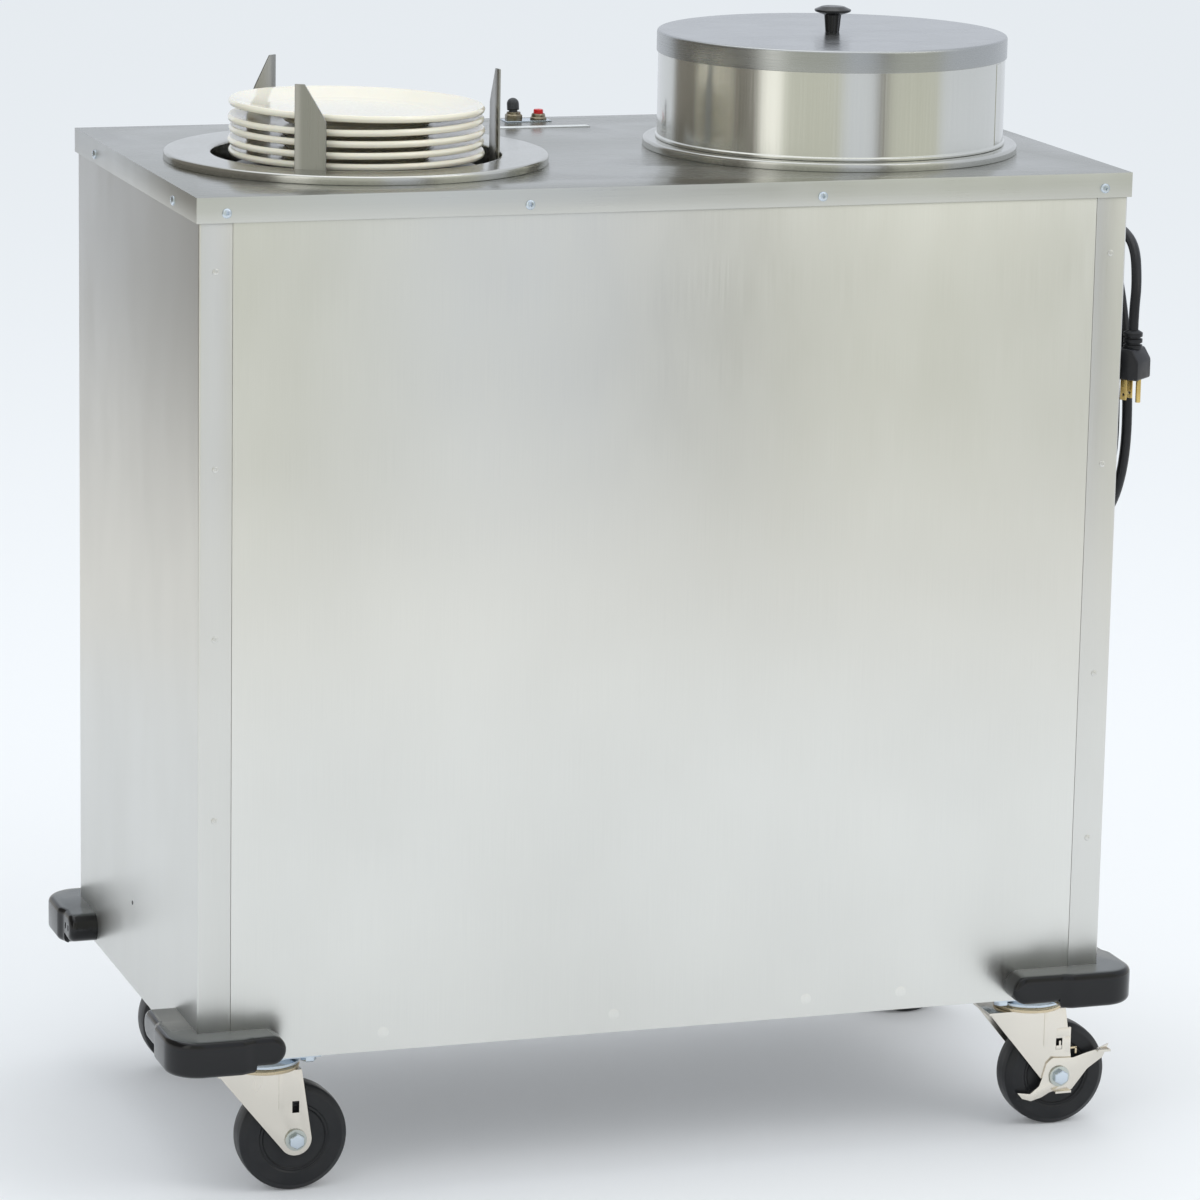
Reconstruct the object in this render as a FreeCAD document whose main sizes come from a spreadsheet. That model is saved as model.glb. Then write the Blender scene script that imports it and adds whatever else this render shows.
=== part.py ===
"""Two-tube heated plate dispenser cart, in millimetres.

X runs to the right along the long front, Y to the rear, Z up. The origin is on
the ground, under the middle of the cabinet. Every driving size is a named cell
of the sheet below; a sub-part binds its own sizes and its place to those cells.
"""
import math
import os
import re

import FreeCAD, Part
import Sketcher
from FreeCAD import Placement, Rotation, Vector

doc = FreeCAD.newDocument("PlateDispenserCart")
sheet = doc.addObject("Spreadsheet::Sheet", "Sizes")

SIZES = [
    # cabinet
    ("cabinet_width", 870, "outside the side panels"),
    ("cabinet_depth", 470, "outside the front and back panels"),
    ("cabinet_height", 779, "bottom edge of the panels to the top surface"),
    ("panel_gauge", 1.2, "sheet of the side, front and back panels and the pan"),
    ("panel_bend", 2, "outside radius of a panel's bends"),
    ("wrap_width", 30, "side panel's flange on the front and the back"),
    ("tongue_width", 25, "front panel's tongue behind that flange"),
    ("hem_width", 15, "front and back panel's fold along the bottom"),
    ("seam_gap", 0.4, "open line between a panel and a flange"),
    ("top_gauge", 1.5, "sheet of the top"),
    ("lip_height", 22.5, "top's turned-down edge"),
    ("lip_overhang", 2.7, "top's edge beyond the panels"),
    ("pan_edge", 20, "bottom pan's turned-up edge"),
    ("slip", 0.3, "gap between pieces that slide together in assembly"),
    # plate tubes
    ("tube_pitch", 459, "one tube's axis to the other's"),
    ("tube_shift", -5.5, "middle between the tubes, to the right of the cabinet's"),
    ("tube_back", -21, "tube axes, to the rear of the cabinet's middle"),
    ("ring_width", 43, "face of the polished ring"),
    ("plate_play", 10.5, "plate's edge to the guide posts"),
    ("ring_height", 8, "ring above the top"),
    ("ring_bevel", 4, "ring's outer top edge"),
    ("collar_depth", 14, "ring's collar below the top"),
    ("collar_wall", 1.5, "wall of that collar"),
    ("lug_reach", 11, "spring lug outside the collar"),
    ("lug_width", 12, "width of the spring lugs and carrier arms"),
    ("lug_gauge", 2, "thickness of the spring lugs"),
    ("post_width", 29, "guide post, along the ring"),
    ("post_gauge", 2, "sheet of a guide post"),
    ("post_inset", 2.8, "ring's bore to the outer face of a post"),
    ("post_flange", 8.5, "bent edge of a post"),
    ("post_rise", 74, "post above the ring"),
    ("post_slant", 33, "height of the slanted edge at a post's top"),
    ("post_angle", -4, "first post, from the X axis; the others are thirds on"),
    # carrier and springs
    ("plate_radius", 116.7, "edge of a plate"),
    ("carrier_inset", 1.7, "edge of the platform, inside a plate's edge"),
    ("carrier_gauge", 2, "sheet of the platform"),
    ("carrier_skirt", 12, "platform's turned-down edge"),
    ("carrier_drop", 8.5, "platform's face below the top, with no load"),
    ("carrier_leg", 248, "platform's face down to the spring star"),
    ("star_gauge", 4, "thickness of the spring star"),
    ("spring_radius", 5.5, "outside of an extension spring"),
    ("spring_offset", 5.8, "spring's axis outside the collar"),
    # plates
    ("plate_pitch", 10.2, "one rim to the next in the stack"),
    ("plate_height", 19.5, "foot to the top of the rim"),
    ("plate_foot", 66, "radius of the foot"),
    ("plate_well_play", 12, "flat well outside the foot that stands in it"),
    ("plate_rim", 5.5, "thickness of the rim's edge"),
    # cover
    ("cover_inset", 13.3, "cover's wall, inside the ring's edge"),
    ("cover_height", 100, "ring to the top of the cover's cap"),
    ("cover_gauge", 1.2, "sheet of the cover"),
    ("cover_bead", 1.6, "bead at the foot of the cover, outside its wall"),
    ("cap_band", 20, "turned-down band of the cap"),
    ("knob_radius", 17.4, "head of the knob"),
    ("knob_height", 24.5, "whole knob"),
    ("stem_radius", 6.8, "knob's stem at its foot"),
    # switch and pilot light
    ("controls_back", 214, "switch and light, to the rear of the middle"),
    ("switch_right", -12, "switch, to the right of the middle"),
    ("pilot_right", 13, "pilot light, to the right of the middle"),
    ("control_plate_width", 46, "plate under the switch nut"),
    ("control_plate_depth", 20, "depth of that plate"),
    ("control_plate_gauge", 0.8, "thickness of that plate"),
    ("nut_flats", 15, "boot nut across its flats"),
    ("nut_height", 8, "height of the boot nut"),
    ("boot_radius", 5.9, "rubber boot above its nut"),
    ("boot_height", 12, "boot above its nut"),
    ("boot_lean", 12, "lever's lean to one side at rest"),
    ("boot_dome", 4, "sloped end of the boot"),
    ("toggle_pin", 1.1, "radius of the toggle's pivot"),
    ("toggle_pin_length", 5, "length of that pivot"),
    ("bushing_radius", 6, "switch bushing and pilot barrel"),
    ("bushing_rise", 1, "bushing above the control plate"),
    ("switch_case_width", 16, "switch's case under the top"),
    ("switch_case_depth", 28, "front to rear"),
    ("switch_case_height", 24, "below the top's sheet"),
    ("bezel_radius", 8, "pilot light's bezel"),
    ("bezel_height", 6, "height of the bezel"),
    ("lens_radius", 5.1, "pilot light's lens"),
    ("lens_height", 4, "lens above its bezel"),
    ("pilot_depth", 18, "pilot light's barrel below the control plate"),
    # bumpers
    ("bumper_long", 94, "longer arm, from the cabinet's corner"),
    ("bumper_short", 76, "shorter arm, from the cabinet's corner"),
    ("bumper_reach", 27, "arm outside the panels"),
    ("nose_reach", 31, "nose outside the panels"),
    ("nose_length", 40, "nose along each side, from the corner"),
    ("bumper_low", 2, "arm's underside above the panels' bottom edge"),
    ("bumper_height", 27.5, "height of an arm"),
    ("nose_drop", 6, "nose below an arm"),
    ("bumper_edge", 4, "slope along a bumper's outer edges"),
    # casters
    ("caster_inset", 61, "swivels in from the sides, on average"),
    ("caster_setback", 48, "swivels in from the front and the back"),
    ("caster_shift", 12, "middle of the casters, to the right of the cabinet's"),
    ("channel_width", 95, "caster channel"),
    ("channel_gauge", 2.5, "sheet of the caster channel"),
    ("channel_drop", 4, "channel below the panels' bottom edge"),
    ("plate_length", 92, "caster's top plate along the front"),
    ("plate_depth", 62, "caster's top plate, front to rear"),
    ("plate_gauge", 2.5, "thickness of that plate"),
    ("bolt_across", 73, "bolt to bolt along the front"),
    ("bolt_along", 44, "bolt to bolt, front to rear"),
    ("bolt_flats", 13, "hex heads across their flats"),
    ("bolt_head", 5.3, "height of a hex head"),
    ("axle_radius", 4, "wheel axles"),
    ("washer_radius", 10, "washer under an axle's head"),
    ("washer_gauge", 2, "thickness of that washer"),
    ("race_radius", 30, "ball race under the plate"),
    ("race_height", 13.7, "height of the race"),
    ("kingpin_radius", 6, "kingpin"),
    ("kingpin_flats", 19, "kingpin's nut across its flats"),
    ("kingpin_nut", 4, "height of that nut"),
    ("fork_gauge", 2.5, "sheet of the fork"),
    ("fork_front", 47, "fork's crown ahead of the swivel"),
    ("fork_rear", 31, "fork's crown behind the swivel"),
    ("fork_end", 15, "radius of a leg's round end"),
    ("trail", 25.5, "axle behind the swivel"),
    ("wheel_radius", 50.8, "tread"),
    ("wheel_width", 32, "tread"),
    ("wheel_bevel", 4, "edges of the tread"),
    ("wheel_room", 2, "wheel's side to the fork's leg"),
    ("wheel_headroom", 12.9, "wheel to the crown over it"),
    ("run_clearance", 0.05, "radial play of a shaft in its hole"),
    ("rib_width", 4, "pressed rib down a leg"),
    ("rib_depth", 1, "rib out of the leg"),
    ("rib_length", 34, "rib, from the crown down"),
    ("rib_front", 14, "rib ahead of the axle"),
    ("slot_width", 6.5, "window in a fork's leg"),
    ("slot_height", 11, "window in a fork's leg"),
    ("slot_rise", 31, "window above the axle"),
    ("brake_gauge", 2, "sheet of the brake lever"),
    ("pedal_reach", 7, "brake pedal, out from the lever"),
    ("pedal_length", 13, "brake pedal, along the front"),
    ("pedal_right", 43.5, "middle of the pedal, from the axle"),
    ("pedal_rise", 22, "pedal above the axle"),
    ("tab_reach", 6, "lever's lower tab, out from the lever"),
    ("tab_length", 16, "lower tab, along the front"),
    ("tab_drop", 16, "lower tab below the axle"),
    # cord
    ("cord_radius", 4.75, "flexible cord"),
    ("coil_off", 1.75, "first hung strand off the side panel"),
    ("strand_gap", 3.1, "one hung strand to the next, along X"),
    ("hook_slack", 0.9, "under the hung loops, at the hook"),
    ("hook_width", 10, "cord hook, along the panel"),
    ("hook_gauge", 2.5, "strap of the cord hook"),
    ("hook_lip", 14, "turned-up end of the hook"),
    ("hook_back_up", 22, "hook's back above the saddle"),
    ("hook_back_down", 30, "hook's back below the saddle"),
    ("plug_width", 30, "plug's body"),
    ("plug_depth", 25, "plug's body"),
    ("plug_length", 29, "plug's body"),
    ("plug_grip", 4.45, "plug's grip, outside the cord"),
    ("plug_neck_length", 16, "length of the grip"),
    ("relief_length", 34, "tapered strain relief on the cabinet"),
    ("relief_radius", 8.5, "wide end of that taper"),
    ("relief_wall", 1.4, "sleeve round the cord at its thin end"),
    ("elbow_height", 22, "outlet above the sleeve"),
    ("elbow_wall", 2, "outlet outside the sleeve"),
    ("blade_width", 6.3, "plug's flat blades"),
    ("blade_gauge", 1.5, "thickness of a blade"),
    ("blade_length", 20, "blade beyond the plug"),
    ("blade_pitch", 12.7, "blade to blade"),
    ("ground_radius", 2.4, "ground pin"),
    ("ground_length", 22, "ground pin beyond the plug"),
    ("ground_offset", 11.9, "ground pin to the line of the blades"),
    ("blade_turn", 41, "blades' direction from the X axis, in degrees"),
    # screws
    ("screw_radius", 4.4, "pan head"),
    ("screw_head", 2.4, "height of a pan head"),
    ("screw_drop", 14, "screws below the top surface"),
    ("screw_inset", 24, "outermost front screws, in from the side"),
    ("screw_side", 153, "side screws, either side of the middle"),
    # heat
    ("heater_length", 240, "strip heater"),
    ("heater_width", 38, "strip heater"),
    ("heater_gauge", 8, "strip heater"),
    ("heater_rise", 24, "strip heater above the pan"),
    ("heater_foot", 12, "feet of the strip heater"),
    ("thermostat_side", 60, "thermostat housing"),
    ("thermostat_height", 80, "thermostat housing"),
]

for row, (alias, number, note) in enumerate(SIZES, start=1):
    sheet.set(f"A{row}", alias)
    sheet.set(f"B{row}", str(number))
    sheet.set(f"C{row}", note)
    sheet.setAlias(f"B{row}", alias)
doc.recompute()

ALIASES = {alias for alias, _, _ in SIZES}
kept = []


# ---------------------------------------------------------------- helpers
def bound(text):
    """The expression with each size's name turned into a reference to its cell."""
    return re.sub(r"[a-z_]+", lambda m: f"Sizes.{m[0]}" if m[0] in ALIASES else m[0], str(text))


def value(text):
    """What an expression comes to with the sheet as it is."""
    return float(sheet.evalExpression(bound(text)))


def bind(piece, **sizes):
    """Binds properties of a piece to expressions in the sheet's words."""
    for name, text in sizes.items():
        piece.setExpression(name.replace("_", "."), bound(text))
    return piece


def place(piece, x="0", y="0", z="0", turn=None):
    """Puts a piece's own origin at x, y, z, turned by a rotation about that origin."""
    if turn is not None:
        piece.Placement = Placement(Vector(), turn)
    for axis, text in zip("xyz", (x, y, z)):
        piece.setExpression(f"Placement.Base.{axis}", bound(text))
    return piece


def block(name, across, deep, high, x="0", y="0", z="0"):
    """A box whose middle is over x, y and whose underside is at z."""
    piece = bind(doc.addObject("Part::Box", name), Length=across, Width=deep, Height=high)
    return place(piece, f"{x} - ({across}) / 2", f"{y} - ({deep}) / 2", z)


UP, TO_REAR, TO_RIGHT = Vector(0, 0, 1), Vector(0, 1, 0), Vector(1, 0, 0)


def rod(name, radius, length, x="0", y="0", z="0", along=UP):
    """A cylinder that starts at x, y, z and runs along an axis."""
    piece = bind(doc.addObject("Part::Cylinder", name), Radius=radius, Height=length)
    return place(piece, x, y, z, Rotation(UP, along))


def faceted(name, sides, radius, length, x="0", y="0", z="0", along=UP):
    """A bar of several flat sides that starts at x, y, z and runs along an axis."""
    piece = bind(doc.addObject("Part::Prism", name), Circumradius=radius, Height=length)
    piece.Polygon = sides
    return place(piece, x, y, z, Rotation(UP, along))


def hexagon(name, flats, length, x="0", y="0", z="0", along=UP):
    """A six-sided head or nut, sized across its flats."""
    return faceted(name, 6, f"({flats}) / sqrt(3)", length, x, y, z, along)


def cut(name, base, *tools):
    piece = doc.addObject("Part::Cut", name)
    piece.Base = base
    piece.Tool = tools[0] if len(tools) == 1 else group(name + "_tools", *tools)
    return piece


def fuse(name, *pieces):
    piece = doc.addObject("Part::MultiFuse", name)
    piece.Shapes = list(pieces)
    return piece


def group(name, *pieces):
    piece = doc.addObject("Part::Compound", name)
    piece.Links = list(pieces)
    return piece


def keep(node, piece):
    """Names a finished sub-part; its label is the name of its file."""
    piece.Label = node
    kept.append(piece)
    return piece


def sketch_in(body, role, name):
    """An empty sketch on one of a body's own origin planes."""
    sketch = body.newObject("Sketcher::SketchObject", name)
    flat = next(f for f in body.Origin.OriginFeatures if f.Role == role)
    sketch.AttachmentSupport = [(flat, "")]
    sketch.MapMode = "FlatFace"
    return sketch


def pin_point(sketch, geometry, end, x, y):
    """Fixes a point of a sketch at x, y by two bound distances from its origin."""
    for kind, text in (("DistanceX", x), ("DistanceY", y)):
        number = sketch.addConstraint(Sketcher.Constraint(kind, -1, 1, geometry, end, value(text)))
        sketch.setExpression(f"Constraints[{number}]", bound(text))


def set_radius(sketch, geometry, text):
    number = sketch.addConstraint(Sketcher.Constraint("Radius", geometry, value(text)))
    sketch.setExpression(f"Constraints[{number}]", bound(text))


def swing(centre, start, stop):
    """The arc that runs anticlockwise from start to stop."""
    first, last = (math.atan2((p - centre).y, (p - centre).x) for p in (start, stop))
    if last < first:
        last += 2 * math.pi
    return Part.ArcOfCircle(Part.Circle(centre, UP, (start - centre).Length), first, last)


def round_corner(sketch, before, after, ends, corner, text):
    """Joins two lines by a tangent arc; their virtual corner is a bound point."""
    start, stop, centre = ends
    at = Vector(value(corner[0]), value(corner[1]), 0)
    left_turn = (start - centre).cross(stop - centre).z > 0
    arc = sketch.addGeometry(swing(centre, *((start, stop) if left_turn else (stop, start))))
    point = sketch.addGeometry(Part.Point(at), True)
    pin_point(sketch, point, 1, *corner)
    first = 1 if left_turn else 2
    sketch.addConstraint([
        Sketcher.Constraint("PointOnObject", point, 1, before),
        Sketcher.Constraint("PointOnObject", point, 1, after),
        Sketcher.Constraint("Tangent", before, 2, arc, first),
        Sketcher.Constraint("Tangent", arc, 3 - first, after, 1),
    ])
    set_radius(sketch, arc, text)


def arc_ends(before, at, after, radius):
    """Where a corner's arc leaves one line and meets the next, and its centre."""
    back = (before - at).normalize()
    ahead = (after - at).normalize()
    half = back.getAngle(ahead) / 2
    reach = radius / math.tan(half)
    centre = at + (back + ahead).normalize() * (radius / math.sin(half))
    return at + back * reach, at + ahead * reach, centre


def outline(body, role, corners, name="outline"):
    """A closed sketch; a corner is (x, y) or, where it is rounded, (x, y, radius)."""
    sketch = sketch_in(body, role, name)
    count = len(corners)
    at = [Vector(value(c[0]), value(c[1]), 0) for c in corners]
    ends = []
    for i, corner in enumerate(corners):
        if len(corner) == 3:
            ends.append(arc_ends(at[i - 1], at[i], at[(i + 1) % count], value(corner[2])))
        else:
            ends.append((at[i], at[i], None))
    lines = [
        sketch.addGeometry(Part.LineSegment(ends[i][1], ends[(i + 1) % count][0]))
        for i in range(count)
    ]
    for i, corner in enumerate(corners):
        if len(corner) == 3:
            round_corner(sketch, lines[i - 1], lines[i], ends[i], corner[:2], corner[2])
        else:
            sketch.addConstraint(Sketcher.Constraint("Coincident", lines[i - 1], 2, lines[i], 1))
            pin_point(sketch, lines[i], 1, *corner)
    return sketch


def prism(name, role, corners, length, x="0", y="0", z="0", turn=None):
    """An outline on one of the origin planes, padded by a length.

    On XZ_Plane the outline is read as X and Z and the pad runs to the front.
    """
    body = doc.addObject("PartDesign::Body", name)
    pad = body.newObject("PartDesign::Pad", name + "_pad")
    pad.Profile = outline(body, role, corners)
    bind(pad, Length=length)
    return place(body, x, y, z, turn)


def turned(name, corners, x="0", y="0", z="0", turn=None):
    """A profile of radius and height, turned about the body's Z axis."""
    body = doc.addObject("PartDesign::Body", name)
    revolution = body.newObject("PartDesign::Revolution", name + "_turn")
    profile = outline(body, "XZ_Plane", corners)
    revolution.Profile = profile
    revolution.ReferenceAxis = (profile, ["V_Axis"])
    revolution.Angle = 360
    return place(body, x, y, z, turn)


# ---------------------------------------------------------------- places
BOTTOM = ("(2 * wheel_radius + wheel_headroom + fork_gauge + slip + race_height + plate_gauge"
          " + channel_drop)")
TOP = f"({BOTTOM} + cabinet_height)"
RING_TOP = f"({TOP} + ring_height)"
RING_BORE = "(plate_radius + plate_play + post_gauge + post_inset)"
RING_EDGE = f"({RING_BORE} + ring_width)"
PAN_TOP = f"({BOTTOM} + 2 * panel_gauge)"
SIDE = "cabinet_width / 2"
FRONT = "cabinet_depth / 2"
TUBES = {"left": "(tube_shift - tube_pitch / 2)", "right": "(tube_shift + tube_pitch / 2)"}
CASTERS = {
    "front_left": ("(caster_shift + caster_inset - cabinet_width / 2)", "(caster_setback - cabinet_depth / 2)"),
    "front_right": ("(caster_shift - caster_inset + cabinet_width / 2)", "(caster_setback - cabinet_depth / 2)"),
    "rear_left": ("(caster_shift + caster_inset - cabinet_width / 2)", "(cabinet_depth / 2 - caster_setback)"),
    "rear_right": ("(caster_shift - caster_inset + cabinet_width / 2)", "(cabinet_depth / 2 - caster_setback)"),
}
BRAKED = ("front_right", "rear_right")
LUG_ANGLES = (60, 180, 300)
THIRDS = (0, 120, 240)


# ---------------------------------------------------------------- cabinet
def side_panel(node, hand):
    """A tall sheet whose two flanges wrap round to the front and the back."""
    far, near = f"{hand} * {SIDE}", f"{hand} * ({SIDE} - wrap_width)"
    inner = f"{hand} * ({SIDE} - panel_gauge)"
    wall = f"({FRONT} - panel_gauge)"
    corners = [
        (near, f"-{FRONT}"), (far, f"-{FRONT}", "panel_bend"),
        (far, FRONT, "panel_bend"), (near, FRONT),
        (near, wall), (inner, wall), (inner, f"-{wall}"), (near, f"-{wall}"),
    ]
    keep(node, prism(node, "XY_Plane", corners, "cabinet_height - top_gauge", z=BOTTOM))


def flat_panel(node, turn):
    """The front or the back: a sheet with stepped tongues and a folded bottom."""
    edge = f"({SIDE} - wrap_width - seam_gap)"
    tip = f"({SIDE} - wrap_width + tongue_width)"
    step = f"({SIDE} - wrap_width - seam_gap - panel_gauge)"
    face, back, deep = f"-{FRONT}", f"(panel_gauge - {FRONT})", f"(2 * panel_gauge - {FRONT})"
    corners = [
        (f"-{edge}", face), (edge, face), (edge, back), (tip, back), (tip, deep),
        (step, deep), (step, back), (f"-{step}", back), (f"-{step}", deep),
        (f"-{tip}", deep), (f"-{tip}", back), (f"-{edge}", back),
    ]
    sheet_part = prism(node + "_sheet", "XY_Plane", corners, "cabinet_height - top_gauge", z=BOTTOM)
    hem = block(node + "_hem", f"2 * {step}", "hem_width", "panel_gauge",
                y=f"(hem_width / 2 - {FRONT})", z=BOTTOM)
    panel = fuse(node, sheet_part, hem)
    panel.Placement = Placement(Vector(), turn)
    keep(node, panel)


def top_panel():
    """The folded top, with two holes for the tubes and two for the controls."""
    across, deep = "(cabinet_width + 2 * lip_overhang)", "(cabinet_depth + 2 * lip_overhang)"
    under = f"{TOP} - lip_height"
    outer = block("top_outer", across, deep, "lip_height", z=under)
    inner = block("top_inner", f"{across} - 2 * top_gauge", f"{deep} - 2 * top_gauge",
                  "lip_height - top_gauge", z=under)
    holes = [rod(f"tube_hole_{side}", f"{RING_BORE} + collar_wall + lug_reach + slip", "lip_height",
                 x, "tube_back", under) for side, x in TUBES.items()]
    holes += [rod(f"control_hole_{x}", "bushing_radius + slip", "lip_height", x, "controls_back", under)
              for x in ("switch_right", "pilot_right")]
    keep("top_panel", cut("top_panel", outer, inner, *holes))


def bottom_pan():
    """A shallow pan that lies on the front and back panels' folds."""
    across = "(cabinet_width - 2 * panel_gauge - 2 * slip)"
    deep = "(cabinet_depth - 4 * panel_gauge - 2 * slip)"
    floor = f"({BOTTOM} + panel_gauge)"
    outer = block("pan_outer", across, deep, "pan_edge", z=floor)
    inner = block("pan_inner", f"{across} - 2 * panel_gauge", f"{deep} - 2 * panel_gauge",
                  "pan_edge", z=f"{floor} + panel_gauge")
    keep("bottom_pan", cut("bottom_pan", outer, inner))


def caster_channels():
    """Two channels under the pan that carry the casters."""
    length = "(cabinet_depth - 2 * hem_width - 2 * slip)"
    height = "(channel_drop + panel_gauge)"
    parts = []
    for hand in ("-1", "1"):
        x = f"(caster_shift + {hand} * ({SIDE} - caster_inset))"
        outer = block(f"channel_outer_{hand}", "channel_width", length, height, x,
                      z=f"{BOTTOM} - channel_drop")
        inner = block(f"channel_inner_{hand}", "channel_width - 2 * channel_gauge", length, height, x,
                      z=f"{BOTTOM} - channel_drop + channel_gauge")
        parts.append(cut(f"channel_{hand}", outer, inner))
    keep("caster_channels", group("caster_channels", *parts))


def bumper(node, quarter_turns, right, rear):
    """A soft corner guard: a deep round nose and two arms that end bull-nosed.

    It is drawn at the front left corner, with its long arm to the rear.
    """
    arms = []
    for name, role, length, hand in (("long", "YZ_Plane", "bumper_long", "-1"),
                                     ("short", "XZ_Plane", "bumper_short", "1")):
        end = "(0.49 * bumper_height)"
        side_view = [
            ("0", "bumper_low"), (length, "bumper_low", end),
            (length, "bumper_low + bumper_height", end), ("0", "bumper_low + bumper_height"),
        ]
        at = {"x": "-bumper_reach"} if name == "long" else {}
        arm = prism(f"{node}_{name}", role, side_view, "bumper_reach", **at)
        arms.append(sloped(arm, lambda e, n=name: on_outer_face(e, n)))
    big = "-nose_reach"
    plan = [
        ("0", "nose_length + bumper_edge"), ("-bumper_reach", "nose_length + bumper_edge"),
        (big, "nose_length"), (big, big, "nose_reach"), ("nose_length", big),
        ("nose_length + bumper_edge", "-bumper_reach"), ("nose_length + bumper_edge", "0"), ("0", "0"),
    ]
    nose = prism(node + "_nose", "XY_Plane", plan, "bumper_height + nose_drop", z="bumper_low - nose_drop")
    guard = fuse(node, *arms, sloped(nose, is_level_and_outside))
    keep(node, place(guard, f"{right} * {SIDE}", f"{rear} * {FRONT}", BOTTOM,
                     Rotation(UP, 90 * quarter_turns)))


def on_outer_face(edge, arm):
    """Whether an edge lies on the face of an arm that looks away from the cabinet."""
    box = edge.BoundBox
    low, high = (box.XMin, box.XMax) if arm == "long" else (box.YMin, box.YMax)
    starts_at_corner = max(box.XMax, box.YMax) < 0.01 and box.ZLength > value("bumper_height") / 2
    return high - low < 0.01 and abs(low + value("bumper_reach")) < 0.01 and not starts_at_corner


def is_level_and_outside(edge):
    """Whether an edge runs level along a part of the outline off the panels."""
    box = edge.BoundBox
    against_cabinet = box.XMin > -0.01 and box.YMin > -0.01
    across = box.XMax > -0.01 and box.XLength > 1 and box.YLength < 0.01 and box.YMin > 0
    along = box.YMax > -0.01 and box.YLength > 1 and box.XLength < 0.01 and box.XMin > 0
    return box.ZLength < 0.01 and not (against_cabinet or across or along)


def sloped(body, wanted):
    """Slopes those edges of a bumper's part that are wanted."""
    doc.recompute()
    piece = doc.addObject("Part::Chamfer", body.Name + "_slope")
    piece.Base = body
    width = value("bumper_edge")
    piece.Edges = [(number, width, width) for number, edge in enumerate(body.Shape.Edges, start=1)
                   if wanted(edge)]
    return piece


# ---------------------------------------------------------------- tubes
def ring(side):
    """A polished ring with a collar and three lugs that the springs hang from."""
    x = TUBES[side]
    outer = f"({RING_BORE} + collar_wall)"
    profile = [
        (RING_BORE, "-collar_depth"), (outer, "-collar_depth"), (outer, "0"), (RING_EDGE, "0"),
        (RING_EDGE, "ring_height - ring_bevel"), (f"{RING_EDGE} - ring_bevel", "ring_height"),
        (RING_BORE, "ring_height"),
    ]
    hoop = turned(f"ring_{side}_hoop", profile, x, "tube_back", TOP)
    lugs = []
    for degrees in LUG_ANGLES:
        lug = block(f"ring_{side}_lug_{degrees}", "collar_wall / 2 + lug_reach", "lug_width", "lug_gauge",
                    f"({outer} + lug_reach / 2 - collar_wall / 4)", z=f"{TOP} - collar_depth")
        lugs.append(spun(lug, degrees, x))
    keep(f"ring_{side}", fuse(f"ring_{side}", hoop, *lugs))


def spun(piece, degrees, x):
    """The piece, drawn for an axis at the origin, turned and moved to a tube's axis."""
    carrier = group(piece.Name + "_spun", piece)
    turn = Rotation(UP, value("post_angle") + degrees)
    return place(carrier, x, "tube_back", "0", turn)


def guide_posts(side):
    """Three bent strips that stand on the pan and guide the plates' edges."""
    face = f"({RING_BORE} - post_inset)"
    half = "post_width / 2"
    bend = "(post_flange - post_width / 2)"
    kick = "(post_flange * tan(10 deg))"
    plan = [
        (face, half), (f"{face} - post_gauge", half), (f"{face} - post_gauge", bend),
        (f"{face} - post_gauge + {kick}", f"-{half}"), (f"{face} + {kick}", f"-{half}"), (face, bend),
    ]
    slant = [
        (half, "0"), ("-(post_width / 2 - post_flange)", "0"), (f"{half} - 4.5", "-0.76 * post_slant"),
        (half, "-post_slant"), (f"{half} + 1", "-post_slant"), (f"{half} + 1", "1"),
        ("-(post_width / 2 - post_flange)", "1"),
    ]
    posts = []
    for degrees in THIRDS:
        name = f"post_{side}_{degrees}"
        strip = prism(name + "_strip", "XY_Plane", plan, f"{RING_TOP} + post_rise - {PAN_TOP}", z=PAN_TOP)
        corner = prism(name + "_corner", "YZ_Plane", slant[1:], RING_BORE, z=f"{RING_TOP} + post_rise")
        posts.append(spun(cut(name, strip, corner), degrees, TUBES[side]))
    keep(f"guide_posts_{side}", group(f"guide_posts_{side}", *posts))


SPRING_TOP = f"({TOP} - collar_depth)"
STAR_TOP = f"({TOP} - carrier_drop - carrier_leg)"
SPRING_AXIS = f"({RING_BORE} + collar_wall + spring_offset)"


def springs(side):
    """Three close-wound extension springs, each as the bar that it fills."""
    coils = []
    for degrees in LUG_ANGLES:
        coil = faceted(f"spring_{side}_{degrees}", 12, "spring_radius", f"{SPRING_TOP} - {STAR_TOP}",
                       SPRING_AXIS, z=STAR_TOP)
        coils.append(spun(coil, degrees, TUBES[side]))
    keep(f"springs_{side}", group(f"springs_{side}", *coils))


def carrier(side):
    """The platform under the plates, with three legs down to the spring star."""
    x = TUBES[side]
    top = f"({TOP} - carrier_drop)"
    edge = "(plate_radius - carrier_inset)"
    rim = f"({edge} - carrier_gauge)"
    profile = [
        ("0", "-carrier_gauge"), (rim, "-carrier_gauge"), (rim, "-carrier_skirt"),
        (edge, "-carrier_skirt"), (edge, "0"), ("0", "0"),
    ]
    platform = turned(f"carrier_{side}_platform", profile, x, "tube_back", top)
    arms = []
    for degrees in LUG_ANGLES:
        leg = block(f"carrier_{side}_leg_{degrees}", "carrier_gauge", "lug_width",
                    "carrier_leg + star_gauge / 2 - carrier_gauge / 2", f"({rim} - carrier_gauge)",
                    z=f"{STAR_TOP} - star_gauge / 2")
        arm = block(f"carrier_{side}_arm_{degrees}", f"{SPRING_AXIS} + spring_radius", "lug_width",
                    "star_gauge", f"({SPRING_AXIS} + spring_radius) / 2", z=f"{STAR_TOP} - star_gauge")
        arms += [spun(leg, degrees, x), spun(arm, degrees, x)]
    keep(f"carrier_{side}", fuse(f"carrier_{side}", platform, *arms))


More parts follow.
